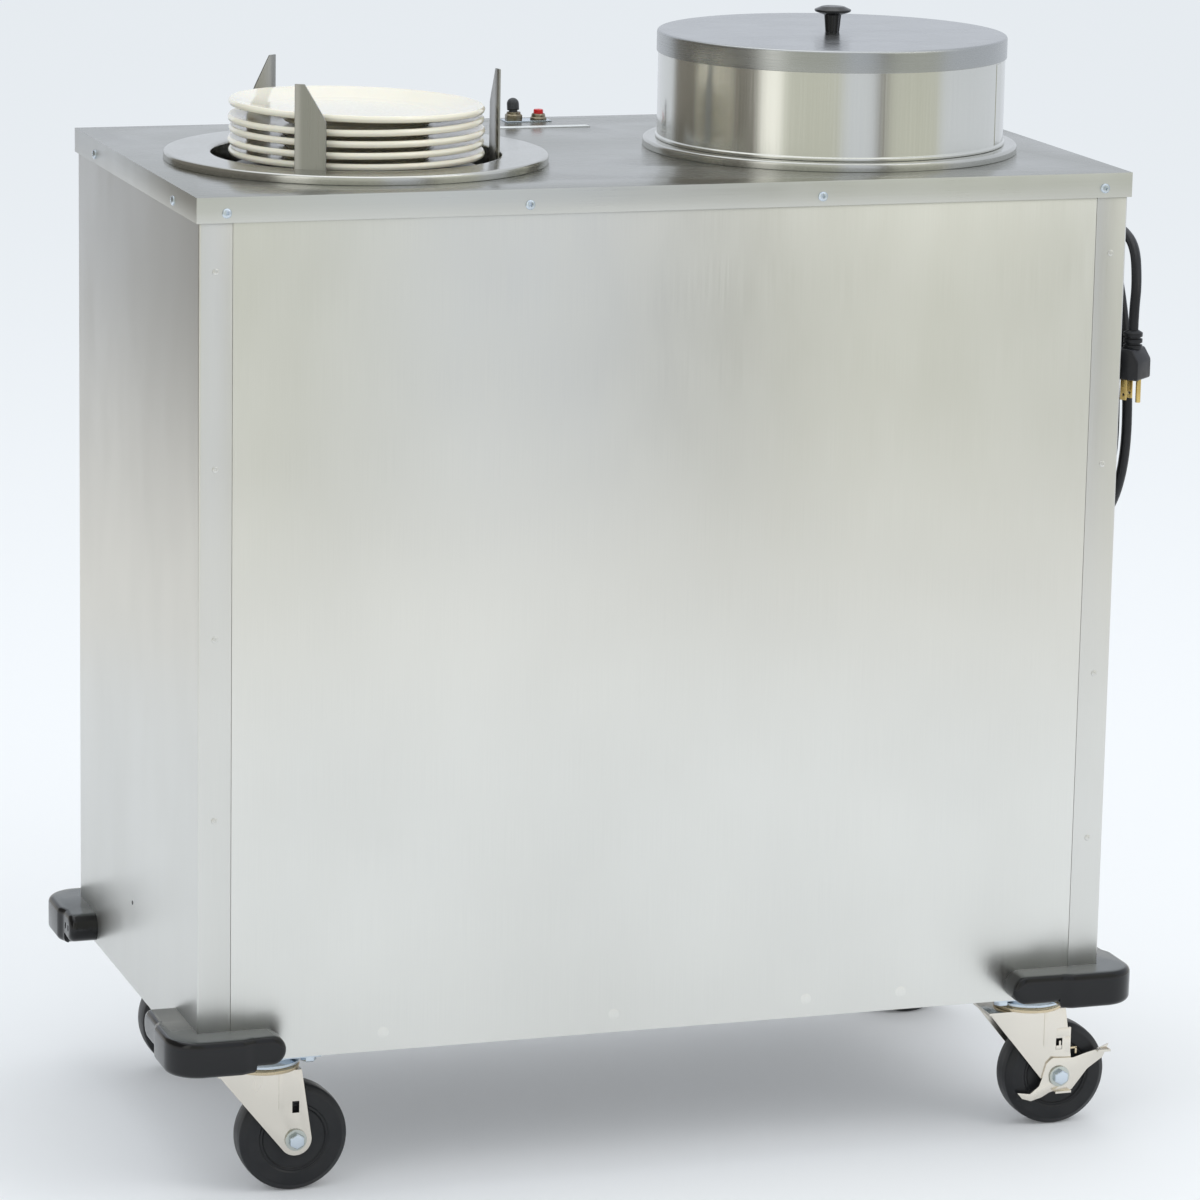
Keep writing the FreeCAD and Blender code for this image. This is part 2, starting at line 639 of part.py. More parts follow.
# ---------------------------------------------------------------- plates
def dinner_plate(name, number):
    """A thick rimmed plate; its foot stands in the well of the one below."""
    under = "(plate_height - plate_rim)"
    profile = [
        ("0", "0"), ("plate_foot", "0"), ("plate_radius", under), ("plate_radius", "plate_height"),
        ("plate_foot + plate_well_play", "plate_pitch"), ("0", "plate_pitch"),
    ]
    return turned(name, profile, TUBES["left"], "tube_back",
                  f"{TOP} - carrier_drop + {number} * plate_pitch")


def plates():
    stack = [dinner_plate(f"plate_{number + 1}", number) for number in range(4)]
    keep("plates_below", group("plates_below", *stack))
    keep("plate_top", dinner_plate("plate_top", 4))


# ---------------------------------------------------------------- cover
def cover():
    """A drum that stands on the right ring, with a folded cap and a knob."""
    x, drum = TUBES["right"], f"({RING_EDGE} - cover_inset)"
    wall, cap_wall = f"({drum} - cover_gauge)", f"({drum} + slip)"
    shell = [
        (wall, "0"), (f"{drum} + cover_bead", "0"), (drum, "2 * cover_bead"),
        (drum, "cover_height - cover_gauge"), (wall, "cover_height - cover_gauge"),
    ]
    cap = [
        (cap_wall, "cover_height - cap_band"), (f"{cap_wall} + cover_gauge", "cover_height - cap_band"),
        (f"{cap_wall} + cover_gauge", "cover_height"), ("0", "cover_height"),
        ("0", "cover_height - cover_gauge"), (cap_wall, "cover_height - cover_gauge"),
    ]
    knob = [
        ("0", "0"), ("stem_radius", "0"), ("1.2 * stem_radius", "0.72 * knob_height"),
        ("knob_radius", "0.76 * knob_height"), ("0.62 * knob_radius", "0.97 * knob_height"),
        ("0", "knob_height"),
    ]
    keep("cover_shell", turned("cover_shell", shell, x, "tube_back", RING_TOP))
    keep("cover_cap", turned("cover_cap", cap, x, "tube_back", RING_TOP))
    keep("cover_knob", turned("cover_knob", knob, x, "tube_back", f"{RING_TOP} + cover_height"))


# ---------------------------------------------------------------- controls
def controls():
    """A booted toggle switch and a pilot light at the back of the top."""
    y, plate_top = "controls_back", f"({TOP} + control_plate_gauge)"
    both = "((switch_right + pilot_right) / 2)"
    strip = block("strip", "control_plate_width", "control_plate_depth", "control_plate_gauge",
                  both, y, TOP)
    bores = [rod(f"strip_bore_{x}", "bushing_radius + slip", "2 * control_plate_gauge", x, y, TOP)
             for x in ("switch_right", "pilot_right")]
    keep("control_plate", cut("control_plate", strip, *bores))

    case = block("switch_case", "switch_case_width", "switch_case_depth", "switch_case_height",
                 "switch_right", y, f"{TOP} - top_gauge - switch_case_height")
    bushing = rod("switch_bushing", "bushing_radius", "top_gauge + control_plate_gauge + bushing_rise",
                  "switch_right", y, f"{TOP} - top_gauge")
    keep("switch_body", fuse("switch_body", case, bushing))
    nut = hexagon("nut_hex", "nut_flats", "nut_height", "switch_right", y, plate_top)
    nut_bore = rod("nut_bore", "bushing_radius + slip", "nut_height", "switch_right", y, plate_top)
    keep("switch_nut", cut("switch_nut", nut, nut_bore))

    neck = "(nut_height - bushing_rise - toggle_pin + boot_radius * sin(boot_lean * 1 deg))"
    boot = [
        ("0", "0"), ("0.7 * boot_radius", "0"), ("0.7 * boot_radius", neck), ("boot_radius", neck),
        ("boot_radius", f"{neck} + boot_height - boot_dome"), ("0", f"{neck} + boot_height"),
    ]
    lean = Rotation(TO_RIGHT, -value("boot_lean"))
    pivot = f"({plate_top} + bushing_rise + toggle_pin + 0.2)"
    lever = turned("toggle_lever", boot, "switch_right", y, pivot, lean)
    pin = rod("toggle_pin", "toggle_pin", "toggle_pin_length", "switch_right - toggle_pin_length / 2",
              y, pivot, TO_RIGHT)
    keep("toggle_boot", fuse("toggle_boot", lever, pin))

    bezel = [
        ("lens_radius", "0"), ("bezel_radius", "0"), ("bezel_radius", "bezel_height / 3"),
        ("lens_radius + 1.2", "bezel_height"), ("lens_radius", "bezel_height"),
    ]
    keep("pilot_bezel", turned("pilot_bezel", bezel, "pilot_right", y, plate_top))
    lens = [
        ("0", "-pilot_depth"), ("lens_radius - slip", "-pilot_depth"),
        ("lens_radius - slip", "bezel_height + lens_height"), ("0", "bezel_height + lens_height"),
    ]
    keep("pilot_lens", turned("pilot_lens", lens, "pilot_right", y, plate_top))


# ---------------------------------------------------------------- heat
def heat():
    """A strip heater on two feet under each tube, and the thermostat's housing."""
    parts = []
    for side, x in TUBES.items():
        strip = block(f"heater_{side}_strip", "heater_length", "heater_width", "heater_gauge",
                      x, "tube_back", f"{PAN_TOP} + heater_rise")
        feet = [block(f"heater_{side}_foot_{hand}", "heater_foot", "heater_width", "heater_rise",
                      f"({x} + {hand} * (heater_length / 2 - heater_foot))", "tube_back", PAN_TOP)
                for hand in ("-1", "1")]
        parts.append(fuse(f"heater_{side}", strip, *feet))
    keep("strip_heaters", group("strip_heaters", *parts))
    keep("thermostat", block("thermostat", "thermostat_side", "thermostat_side", "thermostat_height",
                             "tube_shift", f"({FRONT} - thermostat_side)", PAN_TOP))


# ---------------------------------------------------------------- casters
CHANNEL_FACE = f"({BOTTOM} - channel_drop)"
PLATE_FACE = f"({CHANNEL_FACE} - plate_gauge)"
RACE_FACE = f"({PLATE_FACE} - race_height)"
CROWN_TOP = f"({RACE_FACE} - slip)"
CROWN_UNDER = f"({CROWN_TOP} - fork_gauge)"
LEG_INNER = "(wheel_width / 2 + wheel_room)"
LEG_OUTER = "(wheel_width / 2 + wheel_room + fork_gauge)"


def caster_plates():
    """The four fixed halves: top plate, upper race and kingpin with its nut."""
    parts = []
    for corner, (x, y) in CASTERS.items():
        flat = block(f"plate_{corner}", "plate_length", "plate_depth", "plate_gauge", x, y, PLATE_FACE)
        race = rod(f"race_{corner}", "race_radius", "race_height", x, y, RACE_FACE)
        pin = rod(f"pin_{corner}", "kingpin_radius", f"{RACE_FACE} - {CROWN_UNDER} + slip", x, y,
                  f"{CROWN_UNDER} - slip")
        nut = hexagon(f"pin_nut_{corner}", "kingpin_flats", "kingpin_nut", x, y,
                      f"{CROWN_UNDER} - slip - kingpin_nut")
        parts.append(fuse(f"caster_plate_{corner}", flat, race, pin, nut))
    keep("caster_plates", group("caster_plates", *parts))


def caster_bolts():
    """The heads of the hex bolts that hold the plates to the channels."""
    bolts = []
    for corner, (x, y) in CASTERS.items():
        for right in ("-1", "1"):
            for rear in ("-1", "1"):
                name = f"bolt_{corner}_{right}_{rear}"
                at = (f"({x} + {right} * bolt_across / 2)", f"({y} + {rear} * bolt_along / 2)")
                bolts.append(hexagon(name, "bolt_flats", "bolt_head", *at, f"{PLATE_FACE} - bolt_head"))
    keep("caster_bolts", group("caster_bolts", *bolts))


def leg_outline(body, x):
    """A leg's side view: a straight top and a round end about the axle."""
    sketch = sketch_in(body, "XZ_Plane", "leg")
    left, right = f"({x} - fork_front)", f"({x} + fork_rear)"
    centre = (f"({x} + trail)", "wheel_radius")
    a = Vector(value(left), value(CROWN_TOP), 0)
    b = Vector(value(right), value(CROWN_TOP), 0)
    c = Vector(value(centre[0]), value(centre[1]), 0)
    radius = value("fork_end")

    def tangent(start, hand):
        away = start - c
        swing = hand * math.degrees(math.acos(radius / away.Length))
        return c + Rotation(UP, swing).multVec(away).normalize() * radius

    left_end, right_end = tangent(a, 1), tangent(b, -1)
    top = sketch.addGeometry(Part.LineSegment(a, b))
    down = sketch.addGeometry(Part.LineSegment(b, right_end))
    back = sketch.addGeometry(Part.LineSegment(left_end, a))
    arc = sketch.addGeometry(swing(c, left_end, right_end))
    sketch.addConstraint([
        Sketcher.Constraint("Coincident", top, 2, down, 1),
        Sketcher.Constraint("Coincident", back, 2, top, 1),
        Sketcher.Constraint("Tangent", down, 2, arc, 2),
        Sketcher.Constraint("Tangent", arc, 1, back, 1),
    ])
    pin_point(sketch, top, 1, left, CROWN_TOP)
    pin_point(sketch, top, 2, right, CROWN_TOP)
    pin_point(sketch, arc, 3, *centre)
    set_radius(sketch, arc, "fork_end")
    return sketch


def fork(corner):
    """The swivelling half: a crown and two legs with a window in each."""
    x, y = CASTERS[corner]
    legs = []
    for name, back in (("near", f"({y} - {LEG_INNER})"), ("far", f"({y} + {LEG_OUTER})")):
        body = doc.addObject("PartDesign::Body", f"fork_{corner}_{name}")
        pad = body.newObject("PartDesign::Pad", f"fork_{corner}_{name}_pad")
        pad.Profile = leg_outline(body, x)
        bind(pad, Length="fork_gauge")
        legs.append(place(body, y=back))
    crown = block(f"fork_{corner}_crown", "fork_front + fork_rear", f"2 * {LEG_OUTER}", "fork_gauge",
                  f"({x} + (fork_rear - fork_front) / 2)", y, CROWN_UNDER)
    ribs = [block(f"fork_{corner}_rib_{hand}", "rib_width", "rib_depth + fork_gauge / 2", "rib_length",
                  f"({x} + trail - rib_front)",
                  f"({y} + {hand} * ({LEG_OUTER} + rib_depth / 2 - fork_gauge / 4))",
                  f"{CROWN_UNDER} - rib_length") for hand in ("-1", "1")]
    solid = fuse(f"fork_{corner}_solid", crown, *legs, *ribs)
    bore = rod(f"fork_{corner}_bore", "kingpin_radius + run_clearance", "fork_gauge", x, y, CROWN_UNDER)
    axle_hole = rod(f"fork_{corner}_eye", "axle_radius + run_clearance", f"2 * {LEG_OUTER}",
                    f"({x} + trail)", f"({y} - {LEG_OUTER})", "wheel_radius", TO_REAR)
    window = block(f"fork_{corner}_window", "slot_width", f"2 * {LEG_OUTER}", "slot_height",
                   f"({x} + trail)", y, "wheel_radius + slot_rise - slot_height / 2")
    keep(f"fork_{corner}", cut(f"fork_{corner}", solid, bore, axle_hole, window))


def axle(corner):
    """A bolt through the fork's legs and the wheel, with its nut at the rear."""
    x, y = CASTERS[corner]
    at = f"({x} + trail)"
    lever = "(brake_gauge + 2 * slip)" if corner in BRAKED else "0"
    start = f"({y} - {LEG_OUTER} - {lever})"
    length = f"2 * {LEG_OUTER} + {lever} + bolt_head"
    shank = rod(f"axle_{corner}_shank", "axle_radius", length, at, start, "wheel_radius", TO_REAR)
    washer = rod(f"axle_{corner}_washer", "washer_radius", "washer_gauge", at, f"{start} - washer_gauge",
                 "wheel_radius", TO_REAR)
    head = hexagon(f"axle_{corner}_head", "bolt_flats", "bolt_head", at,
                   f"{start} - washer_gauge - bolt_head", "wheel_radius", TO_REAR)
    nut = hexagon(f"axle_{corner}_nut", "bolt_flats", "bolt_head", at, f"({y} + {LEG_OUTER})",
                  "wheel_radius", TO_REAR)
    keep(f"axle_{corner}", fuse(f"axle_{corner}", shank, washer, head, nut))


def wheel(corner):
    """A solid wheel with bevelled tread edges."""
    x, y = CASTERS[corner]
    half, bore = "wheel_width / 2", "(axle_radius + run_clearance)"
    profile = [
        (bore, f"-{half}"), ("wheel_radius - wheel_bevel", f"-{half}"),
        ("wheel_radius", f"wheel_bevel - {half}"), ("wheel_radius", f"{half} - wheel_bevel"),
        ("wheel_radius - wheel_bevel", half), (bore, half),
    ]
    keep(f"wheel_{corner}", turned(f"wheel_{corner}", profile, f"({x} + trail)", y, "wheel_radius",
                                   Rotation(UP, TO_REAR)))


BRAKE_OUTLINE = [  # along the front and up, from the axle
    ("-13", "13", "4"), ("-7", "18", "4"), ("14", "17"), ("28", "21"), ("37", "23"), ("50", "28"),
    ("44", "15"), ("29", "5", "12"), ("13", "-15", "4"), ("-8", "-15", "12"), ("-17", "-20"),
    ("-28", "-23"), ("-37", "-20"), ("-42", "-14"), ("-29", "-16"), ("-20", "-9"), ("-17", "-1"),
]


def brake_lever(corner):
    """A flat lever on the axle, with a pedal at one end and a tab underneath."""
    x, y = CASTERS[corner]
    at = f"({x} + trail)"
    face = f"({y} - {LEG_OUTER} - slip)"
    blade = prism(f"brake_{corner}_blade", "XZ_Plane", BRAKE_OUTLINE, "brake_gauge",
                  at, face, "wheel_radius")
    pedal = block(f"brake_{corner}_pedal", "pedal_length", "pedal_reach", "brake_gauge", f"({at} + pedal_right)",
                  f"({face} - brake_gauge / 2 - pedal_reach / 2)", "wheel_radius + pedal_rise")
    tab = block(f"brake_{corner}_tab", "tab_length", "tab_reach", "brake_gauge", f"({at} + 3)",
                f"({face} - brake_gauge / 2 - tab_reach / 2)", "wheel_radius - tab_drop")
    eye = rod(f"brake_{corner}_eye", "axle_radius + run_clearance", "4 * brake_gauge", at,
              f"({face} - 2 * brake_gauge)", "wheel_radius", TO_REAR)
    solid = fuse(f"brake_{corner}_solid", blade, pedal, tab)
    keep(f"brake_lever_{corner}", cut(f"brake_lever_{corner}", solid, eye))


# ---------------------------------------------------------------- cord
COIL_TURNS = 2.25
COIL_Y = -110.0       # under the hook
COIL_Z = 541.0        # widest place above the panels' bottom edge
COIL_HALF_WIDTH = 87.0
COIL_RISE = 173.0     # widest place up to the hook
COIL_DROP = 110.0     # widest place down to the lowest
BIARCS_PER_TURN = 4
CORD_SIDES = 6


def coil_point(turn):
    """Place and direction on the hung loops, from the rear side upwards."""
    angle = 2 * math.pi * turn
    step = value("2 * cord_radius + strand_gap")
    high = COIL_RISE if math.sin(angle) > 0 else COIL_DROP
    at = Vector(
        value(f"{SIDE} + coil_off + cord_radius") + step * turn,
        COIL_Y + COIL_HALF_WIDTH * math.cos(angle),
        value(BOTTOM) + COIL_Z + high * math.sin(angle),
    )
    along = Vector(
        step / (2 * math.pi), -COIL_HALF_WIDTH * math.sin(angle), high * math.cos(angle)
    ).normalize()
    return at, along


def biarc(start, leave, stop, arrive):
    """Two arcs, tangent to each other, from one place and direction to another."""
    chord = stop - start
    both = leave + arrive
    a = 2 * (1 - leave.dot(arrive))
    b = 2 * chord.dot(both)
    reach = (-b + math.sqrt(b * b + 4 * a * chord.dot(chord))) / (2 * a)
    joint = (start + leave * reach + stop - arrive * reach) * 0.5
    edges = []
    for origin, direction, end in ((start, leave, joint), (stop, -arrive, joint)):
        way = end - origin
        cosine = direction.dot(way) / way.Length
        half = way.Length / (2 * cosine)
        corner = origin + direction * half
        centre_way = (origin + end) * 0.5 - corner
        radius = half * math.tan(math.acos(min(1, centre_way.Length / half)))
        centre = corner + centre_way.normalize() * math.hypot(half, radius)
        middle = centre + (corner - centre).normalize() * radius
        edges.append(Part.Arc(origin, middle, end).toShape())
    return edges


def tube(path, first_point, first_way, radius):
    """A bar of several flat sides along a smooth path, square to its first end."""
    turn = Placement(first_point, Rotation(UP, first_way))
    step = 2 * math.pi / CORD_SIDES
    corners = [
        turn.multVec(Vector(math.cos(i * step), math.sin(i * step), 0) * radius)
        for i in range(CORD_SIDES)
    ]
    profile = Part.makePolygon(corners + corners[:1])
    sweep = Part.BRepOffsetAPI.MakePipeShell(path)
    sweep.add(profile)
    sweep.build()
    sweep.makeSolid()
    return sweep.shape()


def feature(node, shape):
    piece = doc.addObject("Part::Feature", node)
    piece.Shape = shape
    keep(node, piece)


def coil():
    """The cord's hung loops, one unbroken tube."""
    count = round(COIL_TURNS * BIARCS_PER_TURN)
    stations = [coil_point(i / BIARCS_PER_TURN) for i in range(count + 1)]
    edges, points = [], []
    for (start, leave), (stop, arrive) in zip(stations, stations[1:]):
        edges += biarc(start, leave, stop, arrive)
    path = Part.Wire(edges)
    radius = value("cord_radius")
    feature("cord_coil", tube(path, *stations[0], radius))
    fine = [coil_point(i / 96)[0] for i in range(round(COIL_TURNS * 96) + 1)]
    gap = min((fine[i] - fine[j]).Length for i in range(len(fine)) for j in range(i + 24, len(fine)))
    print(f"coil: {path.Length:.0f} mm of cord, least gap to itself {gap - 2 * radius:.2f} mm")
    return stations[0], stations[-1], path.Length


def route(node, points):
    """Straight runs joined by tangent arcs, swept as a tube; prints its radii."""
    edges, radii = [], []
    last = points[0]
    for before, at, after in zip(points, points[1:], points[2:]):
        turn = math.pi - (before - at).getAngle(after - at)
        radius = 0.45 * min((at - before).Length, (after - at).Length) / math.tan(turn / 2)
        start, stop, centre = arc_ends(before, at, after, radius)
        edges.append(Part.LineSegment(last, start).toShape())
        middle = centre + (at - centre).normalize() * radius
        edges.append(Part.Arc(start, middle, stop).toShape())
        radii.append(round(radius))
        last = stop
    edges.append(Part.LineSegment(last, points[-1]).toShape())
    path = Part.Wire(edges)
    radius = value("cord_radius")
    shape = tube(path, points[0], points[1] - points[0], radius)
    section = CORD_SIDES / 2 * radius**2 * math.sin(2 * math.pi / CORD_SIDES)
    share = shape.Volume / (section * path.Length)
    print(f"{node}: {path.Length:.0f} mm, radii {radii}, volume over section times length {share:.4f}")
    feature(node, shape)
    return path.Length


EXIT_ROUTE = [  # panel to the cord's surface, to the rear, above the panels' bottom edge
    (15.25, 82, 330), (15.25, 81, 276), (12.25, 56, 221), (7.25, 6, 218), (3.75, -25, 270),
    (1.75, -30, 356), (0.65, -23, 448),
]
PLUG_ROUTE = [(30.75, -146, 713), (26.75, -186, 703), (17.75, -213, 672), (13.65, -218, 648)]
PLUG_AT = (13.65, -218.0, 630.0)


def on_side(point):
    """A point on a lead's middle line, from a row of its route."""
    return Vector(value(f"{SIDE} + cord_radius") + point[0], point[1], value(BOTTOM) + point[2])


def cord():
    """Exit lead, loops over the hook, and the lead that hangs down to the plug."""
    (start, _), (end, _), looped = coil()
    leads = route("cord_exit_lead", [on_side(p) for p in EXIT_ROUTE] + [start])
    leads += route("cord_plug_lead", [end] + [on_side(p) for p in PLUG_ROUTE] + [on_side(PLUG_AT)])
    print(f"cord: {looped + leads:.0f} mm in all")


def cord_hook():
    """A strap hook on the right panel that the loops hang from."""
    last = f"{COIL_TURNS} * (2 * cord_radius + strand_gap)"
    reach = f"({SIDE} + coil_off + {last} + 2 * cord_radius + hook_slack)"
    saddle = f"({BOTTOM} + {COIL_Z + COIL_RISE} - cord_radius - hook_slack)"
    corners = [
        (SIDE, f"{saddle} + hook_back_up"), (SIDE, f"{saddle} - hook_back_down"), (f"{SIDE} + hook_gauge", f"{saddle} - hook_back_down"),
        (f"{SIDE} + hook_gauge", f"{saddle} - hook_gauge"), (f"{reach} + hook_gauge", f"{saddle} - hook_gauge"),
        (f"{reach} + hook_gauge", f"{saddle} + hook_lip"), (reach, f"{saddle} + hook_lip"),
        (reach, saddle), (f"{SIDE} + hook_gauge / 2", saddle), (f"{SIDE} + hook_gauge / 2", f"{saddle} + hook_back_up"),
    ]
    keep("cord_hook", prism("cord_hook", "XZ_Plane", corners, "hook_width", y=f"({COIL_Y} + hook_width / 2)"))


def strain_relief():
    """A downward outlet on the right panel with a tapered sleeve."""
    off, y, z = EXIT_ROUTE[0]
    x, low = f"({SIDE} + {off} + cord_radius)", f"({BOTTOM} + {z})"
    sleeve = turned("relief_sleeve", [
        ("0", "0"), ("cord_radius + relief_wall", "0"), ("relief_radius", "relief_length"),
        ("0", "relief_length"),
    ], x, str(y), low)
    across = f"({off} + cord_radius + relief_radius + elbow_wall)"
    elbow = block("relief_elbow", across, "2 * (relief_radius + elbow_wall)", "elbow_height",
                  f"({SIDE} + {across} / 2)", str(y), f"{low} + relief_length")
    keep("strain_relief", fuse("strain_relief", sleeve, elbow))



def plug():
    """A moulded plug that hangs blades down, and its two blades and round pin."""
    x, y = f"({SIDE} + {PLUG_AT[0]} + cord_radius)", str(PLUG_AT[1])
    grip_end = f"({BOTTOM} + {PLUG_AT[2]} - plug_neck_length)"
    face = f"({grip_end} - plug_length)"
    grip = rod("plug_grip", "cord_radius + plug_grip", "plug_neck_length", x, y, grip_end)
    half, deep = "plug_width / 2", "plug_depth / 2"
    corners = [
        (f"-{half}", f"-{deep}", "4"), (half, f"-{deep}", "4"),
        (half, deep, "10"), (f"-{half}", deep, "10"),
    ]
    along = Rotation(UP, value("blade_turn"))
    body = prism("plug_block", "XY_Plane", corners, "plug_length", x, y, face, along)
    keep("cord_plug", fuse("cord_plug", grip, body))

    line = "(ground_offset - 7.4)"
    blades = [block(f"blade_{hand}", "blade_gauge", "blade_width", "blade_length",
                    f"({hand} * blade_pitch / 2)", line, "-blade_length") for hand in ("-1", "1")]
    pin = rod("ground_pin", "ground_radius", "ground_length", "0", f"({line} - ground_offset)",
              "-ground_length")
    keep("plug_blades", place(group("plug_blades", *blades, pin), x, y, face, along))


# ---------------------------------------------------------------- fasteners
def lip_screws():
    """The pan heads of the screws through the top's lip into the panels."""
    z = f"({TOP} - screw_drop)"
    row = f"({SIDE} - screw_inset)"
    screws = []
    for hand, way in (("-1", Vector(0, -1, 0)), ("1", Vector(0, 1, 0))):
        for share in ("-1", "-1/3", "1/3", "1"):
            screws.append(faceted("screw_head", 8, "screw_radius", "screw_head", f"{share} * {row}",
                                  f"{hand} * ({FRONT} + lip_overhang)", z, way))
    for hand, way in (("-1", Vector(-1, 0, 0)), ("1", Vector(1, 0, 0))):
        for rear in ("-1", "1"):
            screws.append(faceted("screw_head", 8, "screw_radius", "screw_head",
                                  f"{hand} * ({SIDE} + lip_overhang)", f"{rear} * screw_side", z, way))
    keep("lip_screws", group("lip_screws", *screws))


# ---------------------------------------------------------------- build
side_panel("side_panel_left", "-1")
side_panel("side_panel_right", "1")
flat_panel("front_panel", Rotation())
flat_panel("back_panel", Rotation(UP, 180))
top_panel()
bottom_pan()
caster_channels()
for node, turns, right, rear in (
    ("bumper_front_left", 0, "-1", "-1"), ("bumper_front_right", 1, "1", "-1"),
    ("bumper_rear_right", 2, "1", "1"), ("bumper_rear_left", 3, "-1", "1"),
):
    bumper(node, turns, right, rear)
for side in TUBES:
    ring(side)
    guide_posts(side)
    springs(side)
    carrier(side)
plates()
cover()
controls()
heat()
caster_plates()
caster_bolts()
for corner in CASTERS:
    fork(corner)
    axle(corner)
    wheel(corner)
for corner in BRAKED:
    brake_lever(corner)
lip_screws()
cord()
cord_hook()
strain_relief()
plug()

doc.recompute()
faulty = [o.Name for o in doc.Objects if {"Invalid", "Error"} & set(o.State)]
if faulty:
    raise RuntimeError(f"these did not build: {faulty}")
os.makedirs("parts", exist_ok=True)
for piece in kept:
    if piece.Shape.isNull() or not piece.Shape.isValid():
        raise RuntimeError(f"{piece.Label} has no valid shape")
    piece.Shape.exportStep(f"parts/{piece.Label}.step")
print(len(kept), "sub-parts")
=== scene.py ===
# %% [markdown]
# # A plate dispenser cart, cell by cell
#
# The object is a closed stainless cabinet on four casters. Two tubes are let
# into its top: plates stand in the left one, a cover stands on the right one.
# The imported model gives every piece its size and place, so this script adds
# only what a camera would see: finishes, softened edges, a cord that hangs.

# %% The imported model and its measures
import math
import random

import bmesh
import bpy
from mathutils import Matrix, Vector


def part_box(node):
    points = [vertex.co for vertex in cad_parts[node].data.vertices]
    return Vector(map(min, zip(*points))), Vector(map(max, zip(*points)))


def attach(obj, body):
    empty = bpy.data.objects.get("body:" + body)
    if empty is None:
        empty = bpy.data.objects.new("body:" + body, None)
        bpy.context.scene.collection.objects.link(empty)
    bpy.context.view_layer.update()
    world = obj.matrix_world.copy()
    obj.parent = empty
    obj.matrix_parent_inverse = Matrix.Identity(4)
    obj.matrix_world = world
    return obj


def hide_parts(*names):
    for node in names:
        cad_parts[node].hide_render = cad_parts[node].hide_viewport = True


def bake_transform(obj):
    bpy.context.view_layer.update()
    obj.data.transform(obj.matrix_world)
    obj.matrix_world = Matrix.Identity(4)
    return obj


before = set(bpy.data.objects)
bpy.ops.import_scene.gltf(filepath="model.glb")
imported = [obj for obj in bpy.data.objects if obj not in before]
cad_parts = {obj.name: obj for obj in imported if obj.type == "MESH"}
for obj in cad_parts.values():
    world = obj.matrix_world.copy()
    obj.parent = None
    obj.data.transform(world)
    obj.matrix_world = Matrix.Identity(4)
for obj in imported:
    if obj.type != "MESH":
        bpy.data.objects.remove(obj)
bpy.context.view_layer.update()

# %% [markdown]
# ## Reading places from the model
#
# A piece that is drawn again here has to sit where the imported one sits. So
# its place and most outer sizes are read from that one's box, and the scene
# follows when the model changes. What no box holds, such as a bore, a wall
# or a small detail, gets a number of its own, and so do two outer radii.

# %% Boxes, middles and the main levels
MM = 0.001


def box_of(node):
    low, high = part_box(node)
    return Vector(low), Vector(high)


def middle_of(node):
    low, high = box_of(node)
    return (low + high) / 2


TOP_Z = box_of("top_panel")[1].z
CABINET_LOW, CABINET_HIGH = box_of("side_panel_left")[0], box_of("side_panel_right")[1]
SIDE_X = CABINET_HIGH.x
FRONT_Y = CABINET_LOW.y
BOTTOM_Z = CABINET_LOW.z
TUBE = {side: middle_of(f"ring_{side}") for side in ("left", "right")}
CORNERS = ("front_left", "front_right", "rear_left", "rear_right")
print("top surface at", round(TOP_Z, 4), "m; tubes at", [round(t.x, 4) for t in TUBE.values()])

# %% [markdown]
# ## The camera first
#
# The camera stands to the left of the cart's middle, a little above the top,
# and far off with a long lens, so upright edges stay nearly parallel. It was
# solved from the cabinet's corners. It is made first because the cord is
# judged by what the camera sees.

# %% Camera
CAMERA_PLACE = Vector((-1.5235, -4.6041, 1.5607))
CAMERA_RIGHT = Vector((0.94966, -0.31276, 0.01839))
CAMERA_UP = Vector((0.05043, 0.21052, 0.97629))
CAMERA_BACK = CAMERA_RIGHT.cross(CAMERA_UP)
CAMERA_LENS = 157.87  # millimetres, on a sensor 36 mm wide

camera = bpy.data.objects.new("camera", bpy.data.cameras.new("camera"))
bpy.context.collection.objects.link(camera)
camera.data.lens = CAMERA_LENS
camera.data.sensor_width = 36
camera.data.clip_end = 100
turn = Matrix((CAMERA_RIGHT, CAMERA_UP, CAMERA_BACK)).transposed()
camera.matrix_world = Matrix.Translation(CAMERA_PLACE) @ turn.to_4x4()
bpy.context.scene.camera = camera

# %% [markdown]
# ## Small tools for finishes
#
# A finish is a Principled shader whose inputs come from noise. Every pattern
# reads Object coordinates: a piece's origin is the cart's origin, so one
# pattern runs on from sheet to sheet, and it stays put when the camera moves.
# A few short functions keep each finish down to what is special about it.

# %% Node helpers


